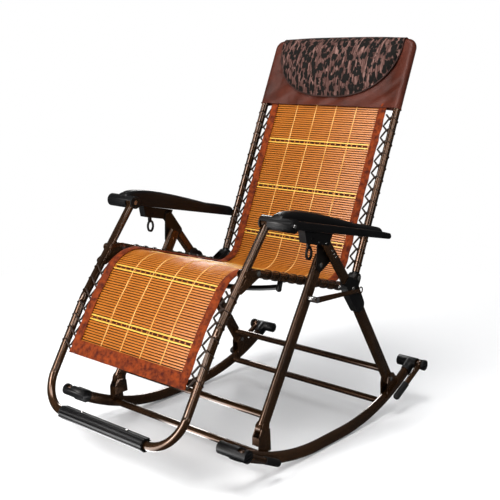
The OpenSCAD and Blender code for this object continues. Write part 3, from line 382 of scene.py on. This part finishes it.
# each rigid node is shown by a merged copy of its mesh, so that tubes shade smoothly
bodyOf = {obj.name: name for name, obj in frame["bodies"].items()}
finishes = {"bronze_paint": bronze, "black_steel": enamel, "black_plastic": nylon,
            "black_rubber": rubber, "bright_steel": zinc}
for part in frame["record"]["subparts"]:
    node, slot = part["node"], part["material_slot"]
    if slot in finishes:
        copy = bpy.data.objects.new(node + "Surface", nodes[node].data.copy())
        bpy.context.collection.objects.link(copy)
        tidyMesh(copy, 0.000005)
        finish(copy, finishes[slot], bodyOf[nodes[node].parent.name], (node,), 30)
print("rigid parts ready")

# the mat, from under the headrest over the seat to the leg rest
matSpec = {"halfWidth": 0.216, "border": 0.021, "lowBorder": 0.036, "lap": 0.004, "pitch": 0.007,
           "bandWide": 0.0115, "bandEvery": 21, "bandAt": 18, "dashEvery": 0.0195, "first": 0.004,
           "rearRadius": 0.080, "frontRadius": 0.103, "legRadius": 0.22, "bendSteps": 20,
           "top": 0.522, "low": 0.150}
inner = matSpec["halfWidth"] - matSpec["border"]


def fillet(corner, dirIn, dirOut, radius, steps):
    half = math.acos(max(-1, min(1, dirIn.dot(dirOut)))) / 2
    start = corner - dirIn * radius * math.tan(half)
    side = (dirOut - dirIn * dirIn.dot(dirOut)).normalized()
    angles = [2 * half * i / steps for i in range(steps + 1)]
    return [start + side * radius * (1 - math.cos(a)) + dirIn * radius * math.sin(a) for a in angles]


def lineCross(p, d, q, e):
    return p + d * (((q.y - p.y) * e.z - (q.z - p.z) * e.y) / (d.y * e.z - d.z * e.y))


bend = matSpec["bendSteps"]
rearCorner = lineCross(seatPin, seatDir, backPin, backDir)
frontCorner = lineCross(seatPin, seatDir, footBend, legUp)
matPath = ([backPin + backDir * matSpec["top"]]
           + fillet(rearCorner, -backDir, -seatDir, matSpec["rearRadius"], bend)
           + fillet(frontCorner, -seatDir, -legUp, matSpec["frontRadius"], bend)
           + fillet(footBend, -legUp, footDir, matSpec["legRadius"], 6)
           + [footBend + footDir * matSpec["low"]])
matRuns = [0.0]
for a, b in zip(matPath, matPath[1:]):
    matRuns.append(matRuns[-1] + (b - a).length)
matLength = matRuns[-1]
slatEnd = matLength - matSpec["lowBorder"]


def matAt(s):  # point, direction and outward normal of the mat's middle line at length s from its top
    s = min(max(s, 0), matLength - 1e-6)
    i = max(k for k in range(len(matRuns) - 1) if matRuns[k] <= s)
    d = (matPath[i + 1] - matPath[i]).normalized()
    share = (s - matRuns[i]) / (matRuns[i + 1] - matRuns[i])
    return matPath[i].lerp(matPath[i + 1], share), d, inPlane(d.z, -d.y)


def across(low, high, lo, hi):  # a bend of the mat goes over from one body to the other
    return low, high, tuple(matAt(lo)[0]), tuple(matAt(hi)[0])


rearStart, rearEnd, frontStart, frontEnd = (matRuns[k] for k in (1, 1 + bend, 2 + bend, 2 + 2 * bend))
zones = [  # name, from, to, what it rides on
    ("Back", 0.0, rearStart, "backrest"),
    ("RearBend", rearStart, rearEnd, across("seat_frame", "backrest", rearEnd, rearStart)),
    ("Seat", rearEnd, frontStart, "seat_frame"),
    ("FrontBend", frontStart, frontEnd, across("footrest", "seat_frame", frontEnd, frontStart)),
    ("Leg", frontEnd, matLength, "footrest"),
]
matNodes = {"Back": ("back_mat",), "Seat": ("seat_mat",), "Leg": ("leg_mat",)}


def slatTemplate(length, wide, thick):  # a cube stretched along x, its long edges bevelled round
    deselectAll()
    bpy.ops.mesh.primitive_cube_add(size=1)
    slat = bpy.context.object
    slat.scale = (length, wide, thick)
    bpy.ops.object.transform_apply(scale=True)
    bpy.ops.object.mode_set(mode="EDIT")
    bpy.ops.mesh.select_all(action="DESELECT")
    bpy.ops.object.mode_set(mode="OBJECT")
    for e in slat.data.edges:
        a, b = (slat.data.vertices[i].co for i in e.vertices)
        e.select = abs(a.x - b.x) > length * 0.5
    bpy.ops.object.mode_set(mode="EDIT")
    bpy.ops.mesh.bevel(offset=thick * 0.45, segments=2)
    bpy.ops.object.mode_set(mode="OBJECT")
    return slat


# copies of the template along the mat, each a little loose, with a UV map that runs on from slat to slat
def placeSlats(name, stations, template, lift, offsets, loose):
    copies = []
    for s, index in stations:
        p, d, n = matAt(s)
        for offset in offsets:
            mesh = template.data.copy()
            uv = mesh.uv_layers.new(name="slatUv")
            shift = offset + random.uniform(-loose, loose)
            tilt = random.uniform(-0.3, 0.3) * loose
            flat = [Vector(v.co) for v in mesh.vertices]
            for loop in mesh.loops:
                c = flat[loop.vertex_index]
                row = (index + 0.5) * matSpec["pitch"] + c.y * 0.5 + c.z * 0.3
                uv.data[loop.index].uv = (c.x + index * 0.37, row)
            for v in mesh.vertices:
                down = d * (v.co.y + tilt * v.co.x / inner)
                v.co = p + Vector((v.co.x + shift, 0, 0)) - down + n * (v.co.z + lift)
            obj = bpy.data.objects.new(name, mesh)
            bpy.context.collection.objects.link(obj)
            copies.append(obj)
    return join(copies, name)


slat = slatTemplate(2 * inner + 2 * matSpec["lap"], 0.0047, 0.0022)  # length, width, thickness
paleSlat = slatTemplate(2 * inner + matSpec["lap"], 0.0042, 0.0028)
dash = slatTemplate(0.0150, 0.0046, 0.0012)
plain, pale, bands = [], [], []
s, index = matSpec["first"], 0
while s < slatEnd:
    turnIn = index % matSpec["bandEvery"] - matSpec["bandAt"]
    (pale if turnIn in (0, 1) else plain).append((s, index))
    if turnIn == 0:  # a wider gap between two pale slats holds the band with its dashes
        bands.append((s + matSpec["bandWide"] / 2, index))
    s += matSpec["bandWide"] if turnIn == 0 else matSpec["pitch"]
    index += 1
dashes = [x * matSpec["dashEvery"] for x in range(-9, 10)]
slatKinds = [  # kind, stations, template, material, lift, places across, looseness
    ("Slats", plain, slat, slatWood, 0.0012, (0.0,), 0.0012),
    ("PaleSlats", pale, paleSlat, paleWood, 0.0018, (0.0,), 0.0006),
    ("BandSlats", bands, slat, slatWood, 0.0008, (0.0,), 0.0006),
    ("Dashes", bands, dash, yarn, 0.0022, dashes, 0.0004),
]
for zone, lo, hi, body in zones:
    for kind, stations, template, mat, lift, offsets, loose in slatKinds:
        here = [x for x in stations if lo <= x[0] < hi]
        if here:
            piece = placeSlats("mat" + zone + kind, here, template, lift, offsets, loose)
            finish(piece, mat, body, matNodes.get(zone, ()) if kind == "Slats" else ())
for template in (slat, paleSlat, dash):
    bpy.data.objects.remove(template)
print("slats", len(plain), len(pale))


def matSheet(name, lo, hi, x0, x1, lift, columns, wave=0.0, swell=0.0):  # cloth along the mat
    def place(u, v):
        s = lo + (hi - lo) * v
        p, d, n = matAt(s)
        x = x0 + (x1 - x0) * u
        middle = math.sin(math.pi * u) ** 0.5 if 0 < u < 1 else 0.0
        puff = wave * 0.6 * smoothNoise(s * 75, x * 60, 3) if 0 < u < 1 else 0.0
        edge = wave * smoothNoise(s * 42, 2.0, 5) * (u if x > 0 else u - 1)
        return p + Vector((x + edge, 0, 0)) + n * (lift + swell * middle + puff)
    return gridPiece(name, columns, max(3, int((hi - lo) / 0.005)), place)


# sewn borders, a nearly black sheet under the slats as painted shade in the gaps, and the pairs of
# threads that run over and under the slats
borderSpec = {"tuck": 0.003, "lift": 0.0018, "thick": 0.0034, "wave": 0.0016, "swell": 0.0026,
              "lowLift": 0.0024, "lowThick": 0.0042, "lowSwell": 0.0010, "gapShade": -0.0006}
threadSpec = {"places": (-0.112, -0.0375, 0.0375, 0.112), "aside": 0.0009, "radius": 0.0007,
              "over": 0.0032, "under": 0.0020}
for zone, lo, hi, body in zones:
    for side, sign in (("Left", -1), ("Right", 1)):
        x0, x1 = sorted((sign * (inner - borderSpec["tuck"]), sign * matSpec["halfWidth"]))
        border = matSheet("matBorder" + zone + side, lo, hi, x0, x1, borderSpec["lift"], 10,
                          borderSpec["wave"], borderSpec["swell"])
        thicken(border, borderSpec["thick"])
        finish(border, borderCloth, body)
    if zone == "Leg":
        low = matSheet("matBorderLow", slatEnd - borderSpec["tuck"], matLength, -matSpec["halfWidth"],
                       matSpec["halfWidth"], borderSpec["lowLift"], 70, borderSpec["wave"],
                       borderSpec["lowSwell"])
        thicken(low, borderSpec["lowThick"])
        finish(low, borderCloth, body)
    # a nearly black sheet just under the slats: painted shade in the gaps between them
    gapShade = matSheet("matBacking" + zone, lo, hi, -inner - matSpec["lap"], inner + matSpec["lap"],
                       borderSpec["gapShade"], 12)
    finish(gapShade, gapShadeCloth, body)
    lines = []
    for x in threadSpec["places"]:
        for phase in (0, 1):
            line = []
            for k in range(int((min(hi, slatEnd) - lo) / matSpec["pitch"] * 2) + 1):
                p, d, n = matAt(lo + k * matSpec["pitch"] / 2)
                aside = threadSpec["aside"] if phase else -threadSpec["aside"]
                height = threadSpec["over"] if (k + phase) % 2 else threadSpec["under"]
                line.append(p + Vector((x + aside, 0, 0)) + n * height)
            lines.append(line)
    threads = tubePiece("matThreads" + zone, lines, threadSpec["radius"], 4)
    finish(threads, threadCotton, body)
    print("mat ready:", zone)

# elastic lacing: one cord a side and panel, from the mat's edge over the tube, round it and back
laceSpec = {"pitch": 0.036, "radius": 0.0024, "edge": tubeX - matSpec["halfWidth"] - 0.0025,
            "wrap": tubeR + 0.0011, "perLoop": 22, "close": 0.006, "turn": 116}


def laceLine(path, loops, sign):
    first = (path[1] - path[0]).length
    wrap, edge, close = laceSpec["wrap"], laceSpec["edge"], laceSpec["close"]
    points = []
    for k in range(loops * laceSpec["perLoop"] + 1):
        loop, f = divmod(k / laceSpec["perLoop"], 1)
        if f < 0.22:  # out to the tube
            g = f / 0.22
            x, up, run = -edge + g * (edge - close), wrap * min(1, g * 1.1) * 0.96, 0.7 * g
        elif f < 0.78:  # round it
            g = (f - 0.22) / 0.56
            a = math.radians(laceSpec["turn"] - 2 * laceSpec["turn"] * g)
            x, up, run = wrap * math.cos(a), wrap * math.sin(a), 0.7 - 0.4 * g
        else:  # and back under it
            g = (f - 0.78) / 0.22
            x, up = -edge * g - close * (1 - g), -wrap * min(1, (1 - g) * 1.1) * 0.96
            run = 0.3 + 0.7 * g
        s = (loop + run) * laceSpec["pitch"]
        d = (path[1] - path[0] if s < first else path[2] - path[1]).normalized()
        c = path[0] + d * s if s < first else path[1] + d * (s - first)
        points.append(c + Vector((sign * (tubeX + x), 0, 0)) + inPlane(-d.z, d.y) * up)
    return points


def legPath(d):
    return footBend + (-footDir if d < 0 else legUp) * d


pitch = laceSpec["pitch"]
lacings = {  # node, its name in the scene, its path along the tube, loops, body
    "seat_lacing": ("seatLacingCord", [seatPin + seatDir * (0.362 + (k - 9) * pitch)
                                       for k in (0, 5, 10)], 10, "seat_frame"),
    "back_lacing": ("backLacingCord", [backPin + backDir * (frameSpec["armLift"] + (k - 3) * pitch)
                                       for k in (0, 5, 13)], 13, "backrest"),
    "leg_lacing": ("legLacingCord", [legPath(k * pitch) for k in (-4, 0, 3)], 7, "footrest"),
}
fromMiddle = [abs(k - laceSpec["perLoop"] // 2) for k in range(laceSpec["perLoop"])]
widths = [1.15 if k > 6 else 0.8 if k == 6 else 0.42 for k in fromMiddle]  # stretched thin over the tube
for node, (name, path, loops, body) in lacings.items():
    lines = [laceLine(path, loops, sign) for sign in (-1, 1)]
    lacing = tubePiece(name, lines, laceSpec["radius"], 8, widths)
    finish(lacing, cordElastic, body, (node,))
print("lacing ready")

# headrest cover: a pocket of two cloths pulled over the back tube, nearly square at its corners
coverSpec = {"height": 0.205, "side": tubeX + tubeR + 0.0022, "radius": 0.030, "tube": tubeR + 0.0024,
             "crown": 0.0105, "flatten": 0.003, "fold": 0.0034, "crease": 0.0007,
             "thick": 0.0012, "hem": 0.0017, "flat": (0.526, 0.44)}


def coverPlace(sign):
    w, r, t = coverSpec["side"], coverSpec["radius"], coverSpec["tube"]
    total = coverSpec["height"] + t

    def place(u, v):
        y = total * v ** 1.6
        half = w if y > r else w - r + math.sqrt(max(0, r * r - (r - y) ** 2))
        aside = 2 * u - 1
        x = half * aside
        if abs(aside) < 1:  # columns lie closer together towards the sides
            x = half * (0.35 * math.sin((u - 0.5) * math.pi) + 0.65 * aside)
        dx, dy = abs(x) - (w - r), r - y
        d = max(0.0, r - math.hypot(dx, dy) if dx > 0 and dy > 0 else min(w - abs(x), y))
        edge = math.sqrt(max(0, t * t - (t - d) ** 2)) if d < t else t
        inward = min(1, max(0, (d - t) / 0.05))
        inward = inward * inward * (3 - 2 * inward)
        out = edge * (1 - inward) + (coverSpec["crown"] - coverSpec["flatten"] * abs(x) / w) * inward
        if d > 0.004:  # diagonal folds, deepest towards the lower corners
            low = 0.4 + 0.9 * min(1, y / total) * (0.4 + 0.6 * abs(x) / w)
            seed = 2 if sign > 0 else 8
            fold = coverSpec["fold"] * low * smoothNoise((x * 0.7 + y * 1.1) * 46, (x - y) * 8, seed)
            crease = coverSpec["crease"] * smoothNoise(x * 70, y * 55, 4)
            out += (fold + crease) * min(1, (d - 0.004) / 0.03)
        return backTop - backDir * (y - t) + backOut * (sign * out) + Vector((x, 0, 0))
    return place


cloths = [gridPiece("headrest" + ("Front" if sign > 0 else "Rear"), 84, 40, coverPlace(sign))
          for sign in (1, -1)]
cover = join(cloths, "headrestCover")
tidyMesh(cover, 0.0004)
thicken(cover, coverSpec["thick"], 1)
finish(cover, coverSatin, "backrest", ("headrest_cover",))
hemLines = [[Vector(coverPlace(sign)(i / 60, 1.0)) + backDir * 0.0005 for i in range(61)]
            for sign in (-1, 1)]
hem = tubePiece("headrestHem", hemLines, coverSpec["hem"], 6)
finish(hem, coverSatin, "backrest")
print("cover ready")

# pillow: a padded half moon that laps over the tube's top, and how it is stuffed
pillowSpec = {"half": 0.225, "drop": 0.178, "thick": 0.027, "lap": 100, "back": tubeR + 0.0033,
              "pressure": 4.0, "bending": 0.2, "steps": 20, "cap": 0.004, "fill": 0.7, "piping": 0.0022}


def pillowDrop(u):
    return 0.012 + (pillowSpec["drop"] - 0.012) * max(0, 1 - abs(u) ** 2.6) ** 0.52


def pillowAt(u, along, out):
    return backTop + Vector((u * pillowSpec["half"], 0, 0)) + backDir * along + backOut * out


def pillowPlace(share, v):  # v runs over the lap, down the front, up the rear and back over the lap
    u = math.sin((share - 0.5) * math.pi)
    full = 0.22 + 0.78 * max(0, 1 - abs(u) ** 3) ** 0.6
    h, back, thick = pillowDrop(u), pillowSpec["back"], pillowSpec["thick"]
    lip = 0.005 * full + 0.0015
    if v < 0.2:
        k = v / 0.2
        a = math.radians(pillowSpec["lap"] * (1 - k))
        r = back + lip * min(1, 0.2 + 8 * k) + (thick * 0.35 * full - lip) * k * k
        return pillowAt(u, math.sin(a) * r, math.cos(a) * r)
    if v < 0.64:
        t = (v - 0.2) / 0.44
        t = 1 - (1 - t) ** 1.5
        crown = 0.35 + 0.65 * math.sin(math.pi * t ** 0.75) ** 0.8
        pucker = 0.0009 * smoothNoise(share * 90, 3, 6) * t * t + 0.0012 * smoothNoise(u * 9, t * 5, 11)
        swell = thick * full * crown * (1 - t ** 6) ** 0.7
        return pillowAt(u, -h * t, back + 0.0006 + swell + pucker * (1 - t ** 8) * full)
    if v < 0.86:
        return pillowAt(u, -h * (0.86 - v) / 0.22, back)
    a = math.radians(pillowSpec["lap"] * (v - 0.86) / 0.14)
    return pillowAt(u, math.sin(a) * back, math.cos(a) * back)


def pillowHeld(co):  # the rear, the seam along the lower edge and both ends stay where they are sewn
    along, out = (co - backTop).dot(backDir), (co - backTop).dot(backOut)
    depth = out if along < 0 else math.hypot(along, out)
    return depth < pillowSpec["back"] + 0.0025 or abs(co.x) > pillowSpec["half"] - 0.001


def inflate(obj, held, spec):  # cloth simulation of the stuffed fabric; no point goes past the cap
    start = [v.co.copy() for v in obj.data.vertices]
    pins = obj.vertex_groups.new(name="held")
    pins.add([v.index for v in obj.data.vertices if held(v.co)], 1.0, "REPLACE")
    cloth = obj.modifiers.new("stuffing", "CLOTH")
    cloth.settings.vertex_group_mass = "held"
    cloth.settings.use_pressure = True
    cloth.settings.uniform_pressure_force = spec["pressure"]
    cloth.settings.effector_weights.gravity = 0.0
    cloth.settings.bending_stiffness = spec["bending"]
    cloth.collision_settings.use_collision = False
    for step in range(1, spec["steps"] + 1):
        bpy.context.scene.frame_set(step)
    applyModifiers(obj)
    bpy.context.scene.frame_set(1)
    moved = [(v.co - s).length for v, s in zip(obj.data.vertices, start)]
    for v, s, far in zip(obj.data.vertices, start, moved):
        if far > spec["cap"]:
            v.co = s + (v.co - s) * (spec["cap"] / far)
    print("pillow swelled by up to", round(max(moved), 4), "m before the cap")


pillow = gridPiece("headrestPillow", 96, 100, pillowPlace)
tidyMesh(pillow, 0.00005, True)
inflate(pillow, pillowHeld, pillowSpec)
finish(pillow, pillowPrint, "backrest", ("headrest_pillow",), 60)
rimAt = [math.sin(math.pi * (i / 96 - 0.5)) for i in range(97)]
rim = [pillowAt(u, -pillowDrop(u), pillowSpec["back"] + 0.0012) for u in rimAt]
turns = [math.radians(pillowSpec["lap"] * k / 6) for k in range(7)]
reach = pillowSpec["back"] + 0.0016
for sign in (-1, 1):  # the piping goes on over the tube at both sides
    end = [pillowAt(sign, math.sin(a) * reach, math.cos(a) * reach) for a in turns]
    rim = rim + end if sign > 0 else list(reversed(end)) + rim
piping = tubePiece("pillowPiping", [rim], pillowSpec["piping"])
finish(piping, pipingCloth, "backrest")
print("pillow ready")

# armrests: a low rail with a domed pad on its inner part, and the slotted barrel in front
armSpec = {"inside": 0.2663, "width": 0.060, "pad": 0.036, "rail": 0.4631, "dome": 0.4541,
           "drop": 0.009, "barrelKept": 0.0183, "barrelEnd": 0.3363, "bolt": 0.0052}


def armSection(sign, x0, wide, lo, hi, low, high, round, nose, tail):  # closed rings along the armrest
    def place(u, v):
        share = 0.5 * v + 0.25 * (1 - math.cos(math.pi * v))
        d = lo + (hi - lo) * share
        a = 2 * math.pi * u
        px = 0.5 + 0.5 * math.copysign(abs(math.cos(a)) ** round, math.cos(a))
        pz = 0.5 + 0.5 * math.copysign(abs(math.sin(a)) ** round, math.sin(a))
        near, far = min(1, (d - lo) / nose), min(1, (hi - d) / tail)
        shrink = math.sqrt(near * (2 - near)) * math.sqrt(far * (2 - far)) if 0 < v < 1 else 0.0
        shrink = 0.35 + 0.65 * shrink
        bottom, top = low(d), high(d, px)
        mid = bottom + (top - bottom) * 0.4
        height = mid + (bottom + (top - bottom) * pz - mid) * shrink
        return armFront + armDir * d + armUp * height + Vector((sign * (x0 + wide * px), 0, 0))
    return place


def railTop(d, px):
    return 0.014 - 0.003 * max(0, d / armSpec["rail"]) ** 12 - (0.0014 if 0.86 < px < 0.93 else 0)


def railFoot(d):
    return 0.0065 * max(0, d) - armSpec["drop"]


def domeTop(d, px):
    t = min(1, max(0, d / armSpec["dome"]))
    arch = 0.014 * math.sin(math.pi * min(1, (t / 0.72) ** 0.62))
    return 0.026 - 0.003 * t ** 12 + arch - 0.006 * abs(2 * px - 1) ** 3


def domeFoot(d):
    return 0.002


for side, sign in (("Left", -1), ("Right", 1)):
    body = "arm_" + side.lower()
    railShape = armSection(sign, armSpec["inside"], armSpec["width"], -0.0155, armSpec["rail"],
                           railFoot, railTop, 0.22, 0.012, 0.006)
    domeShape = armSection(sign, armSpec["inside"] + 0.0002, armSpec["pad"], -0.011, armSpec["dome"],
                           domeFoot, domeTop, 0.42, 0.014, 0.010)
    rail = gridPiece("armRail" + side, 56, 60, railShape)
    dome = gridPiece("armPad" + side, 56, 70, domeShape)
    for piece in (rail, dome):
        tidyMesh(piece, 0.00005, True)
        finish(piece, nylon, body)
    barrel = bpy.data.objects["armrest_" + side.lower() + "Surface"]
    only(barrel)
    bpy.ops.object.mode_set(mode="EDIT")
    bpy.ops.mesh.select_mode(type="VERT")
    bpy.ops.mesh.select_all(action="DESELECT")
    bpy.ops.object.mode_set(mode="OBJECT")
    for v in barrel.data.vertices:  # only the barrel of the merged copy is kept
        v.select = (inPlane(v.co.y, v.co.z) - armFront).length > armSpec["barrelKept"]
    bpy.ops.object.mode_set(mode="EDIT")
    bpy.ops.mesh.delete(type="VERT")
    bpy.ops.object.mode_set(mode="OBJECT")
    deselectAll()
    boltPlace = armFront + Vector((sign * (armSpec["barrelEnd"] - 0.0004), 0, 0))
    bpy.ops.mesh.primitive_cylinder_add(vertices=32, radius=armSpec["bolt"], depth=0.004,
                                        rotation=(0, math.pi / 2, 0), location=boltPlace)
    bolt = bpy.context.object
    bolt.name = "armBoltHead" + side
    bpy.ops.object.transform_apply(location=True, rotation=True)
    m = bolt.modifiers.new("round", "BEVEL")
    m.width, m.segments = 0.0011, 3
    applyModifiers(bolt)
    finish(bolt, zinc, body)
print("armrests ready")

# studio: floor, lights as name, place, size and power, and a long soft light for reflections alone
stageSpec = {"floor": 9.0, "lights": [
    ("key", (-0.5, -3.5, 1.75), (0.55, 3.3), 130), ("fill", (3.6, -0.9, 1.7), (0.35, 2.2), 22),
    ("top", (0.5, -0.9, 3.6), (1.6, 1.6), 70), ("rim", (-2.6, 2.6, 1.8), (0.4, 2.0), 40)],
    "aim": (0, 0, 0.5), "strip": (-0.141, -0.99, 0), "stripFrom": 0.91, "stripTo": 0.97, "strength": 7.0}


def stripStrength(mat, place, dark):
    side = addNode(mat, "ShaderNodeVectorMath", {"operation": "NORMALIZE"}, i0=place)
    along = addNode(mat, "ShaderNodeVectorMath", {"operation": "DOT_PRODUCT", 1: stageSpec["strip"]},
                    i0=side)
    edge = {"From Min": stageSpec["stripFrom"], "From Max": stageSpec["stripTo"],
            "To Min": dark, "To Max": stageSpec["strength"]}
    return addNode(mat, "ShaderNodeMapRange", edge, Value=along.outputs["Value"])


def makeFloor():  # pale floor, plain white further out, and dark in reflections as in a cut-out photo
    deselectAll()
    bpy.ops.mesh.primitive_circle_add(vertices=96, radius=stageSpec["floor"], fill_type="NGON",
                                      location=(0, 0, -0.0005))
    floor = bpy.context.object
    floor.name = "studioFloor"
    mat, shader = newMaterial("paleFloor", Roughness=0.9, Base_Color=hexColour("#fbfbfb"))
    where = patternPlace(mat)
    away = addNode(mat, "ShaderNodeVectorMath", {"operation": "LENGTH"}, i0=where)
    fade = addNode(mat, "ShaderNodeMapRange", {"From Min": 0.9, "From Max": 2.2},
                   Value=away.outputs["Value"])
    ray = addNode(mat, "ShaderNodeLightPath")
    seen = addNode(mat, "ShaderNodeMath", {"operation": "MULTIPLY"},
                   i0=ray.outputs["Is Camera Ray"], i1=fade)
    glow = addNode(mat, "ShaderNodeEmission", {"Color": hexColour("#ffffff"), "Strength": 1.0})
    white = addNode(mat, "ShaderNodeMixShader", i0=seen, i1=shader, i2=glow)
    # the floor glows in a long strip seen only in reflections: a painted reflection of a soft light
    strip = addNode(mat, "ShaderNodeEmission", Strength=stripStrength(mat, where, 0.05))
    addNode(mat, "ShaderNodeMixShader", to=mat.node_tree.nodes["Material Output"].inputs["Surface"],
            i0=ray.outputs["Is Glossy Ray"], i1=white, i2=strip)
    floor.data.materials.append(mat)


def makeWorld():  # white behind the chair, soft light on it, and little of either in its reflections
    world = bpy.data.worlds.new("studio")
    bpy.context.scene.world = world
    world.use_nodes = True
    white = world.node_tree.nodes["Background"]
    white.inputs["Color"].default_value = (1, 1, 1, 1)
    ray = addNode(world, "ShaderNodeLightPath")
    soft = addNode(world, "ShaderNodeBackground", {"Color": (0.9, 0.91, 0.93, 1), "Strength": 0.62})
    coords = addNode(world, "ShaderNodeTexCoord")
    level = addNode(world, "ShaderNodeVectorMath", {"operation": "MULTIPLY", 1: (1, 1, 0)},
                    i0=coords.outputs["Generated"])
    strip = addNode(world, "ShaderNodeBackground", {"Color": (1.0, 0.93, 0.88, 1)},
                    Strength=stripStrength(world, level, 0.10))
    inside = addNode(world, "ShaderNodeMixShader",
                     i0=ray.outputs["Is Glossy Ray"], i1=soft, i2=strip)
    addNode(world, "ShaderNodeMixShader", to=world.node_tree.nodes["World Output"].inputs["Surface"],
            i0=ray.outputs["Is Camera Ray"], i1=inside, i2=white)


makeFloor()
makeWorld()
for name, place, size, power in stageSpec["lights"]:
    light = bpy.data.lights.new(name, "AREA")
    light.shape = "RECTANGLE"
    light.size, light.size_y = size
    light.energy = power
    lamp = bpy.data.objects.new(name, light)
    bpy.context.collection.objects.link(lamp)
    lamp.location = place
    aim = Vector(stageSpec["aim"]) - Vector(place)
    lamp.rotation_euler = aim.to_track_quat("-Z", "Y").to_euler()

# camera as fitted to the photo: focal length in pixels of its 500 pixel frame
cameraSpec = {"place": (1.6325, -1.8208, 1.0336), "behind": (0.64199, -0.74160, 0.19462),
              "sensor": 36, "focal": 886, "frame": 500, "shift": (-0.0028, -0.0234)}
camera = bpy.data.cameras.new("camera")
camera.sensor_width = cameraSpec["sensor"]
camera.lens = cameraSpec["sensor"] * cameraSpec["focal"] / cameraSpec["frame"]
camera.shift_x, camera.shift_y = cameraSpec["shift"]
camera.clip_start = 0.05
cameraObject = bpy.data.objects.new("camera", camera)
bpy.context.collection.objects.link(cameraObject)
cameraObject.location = cameraSpec["place"]
cameraObject.rotation_euler = Vector(cameraSpec["behind"]).to_track_quat("Z", "Y").to_euler()
bpy.context.scene.camera = cameraObject
bpy.context.scene.view_settings.view_transform = "Standard"
print("stage ready")
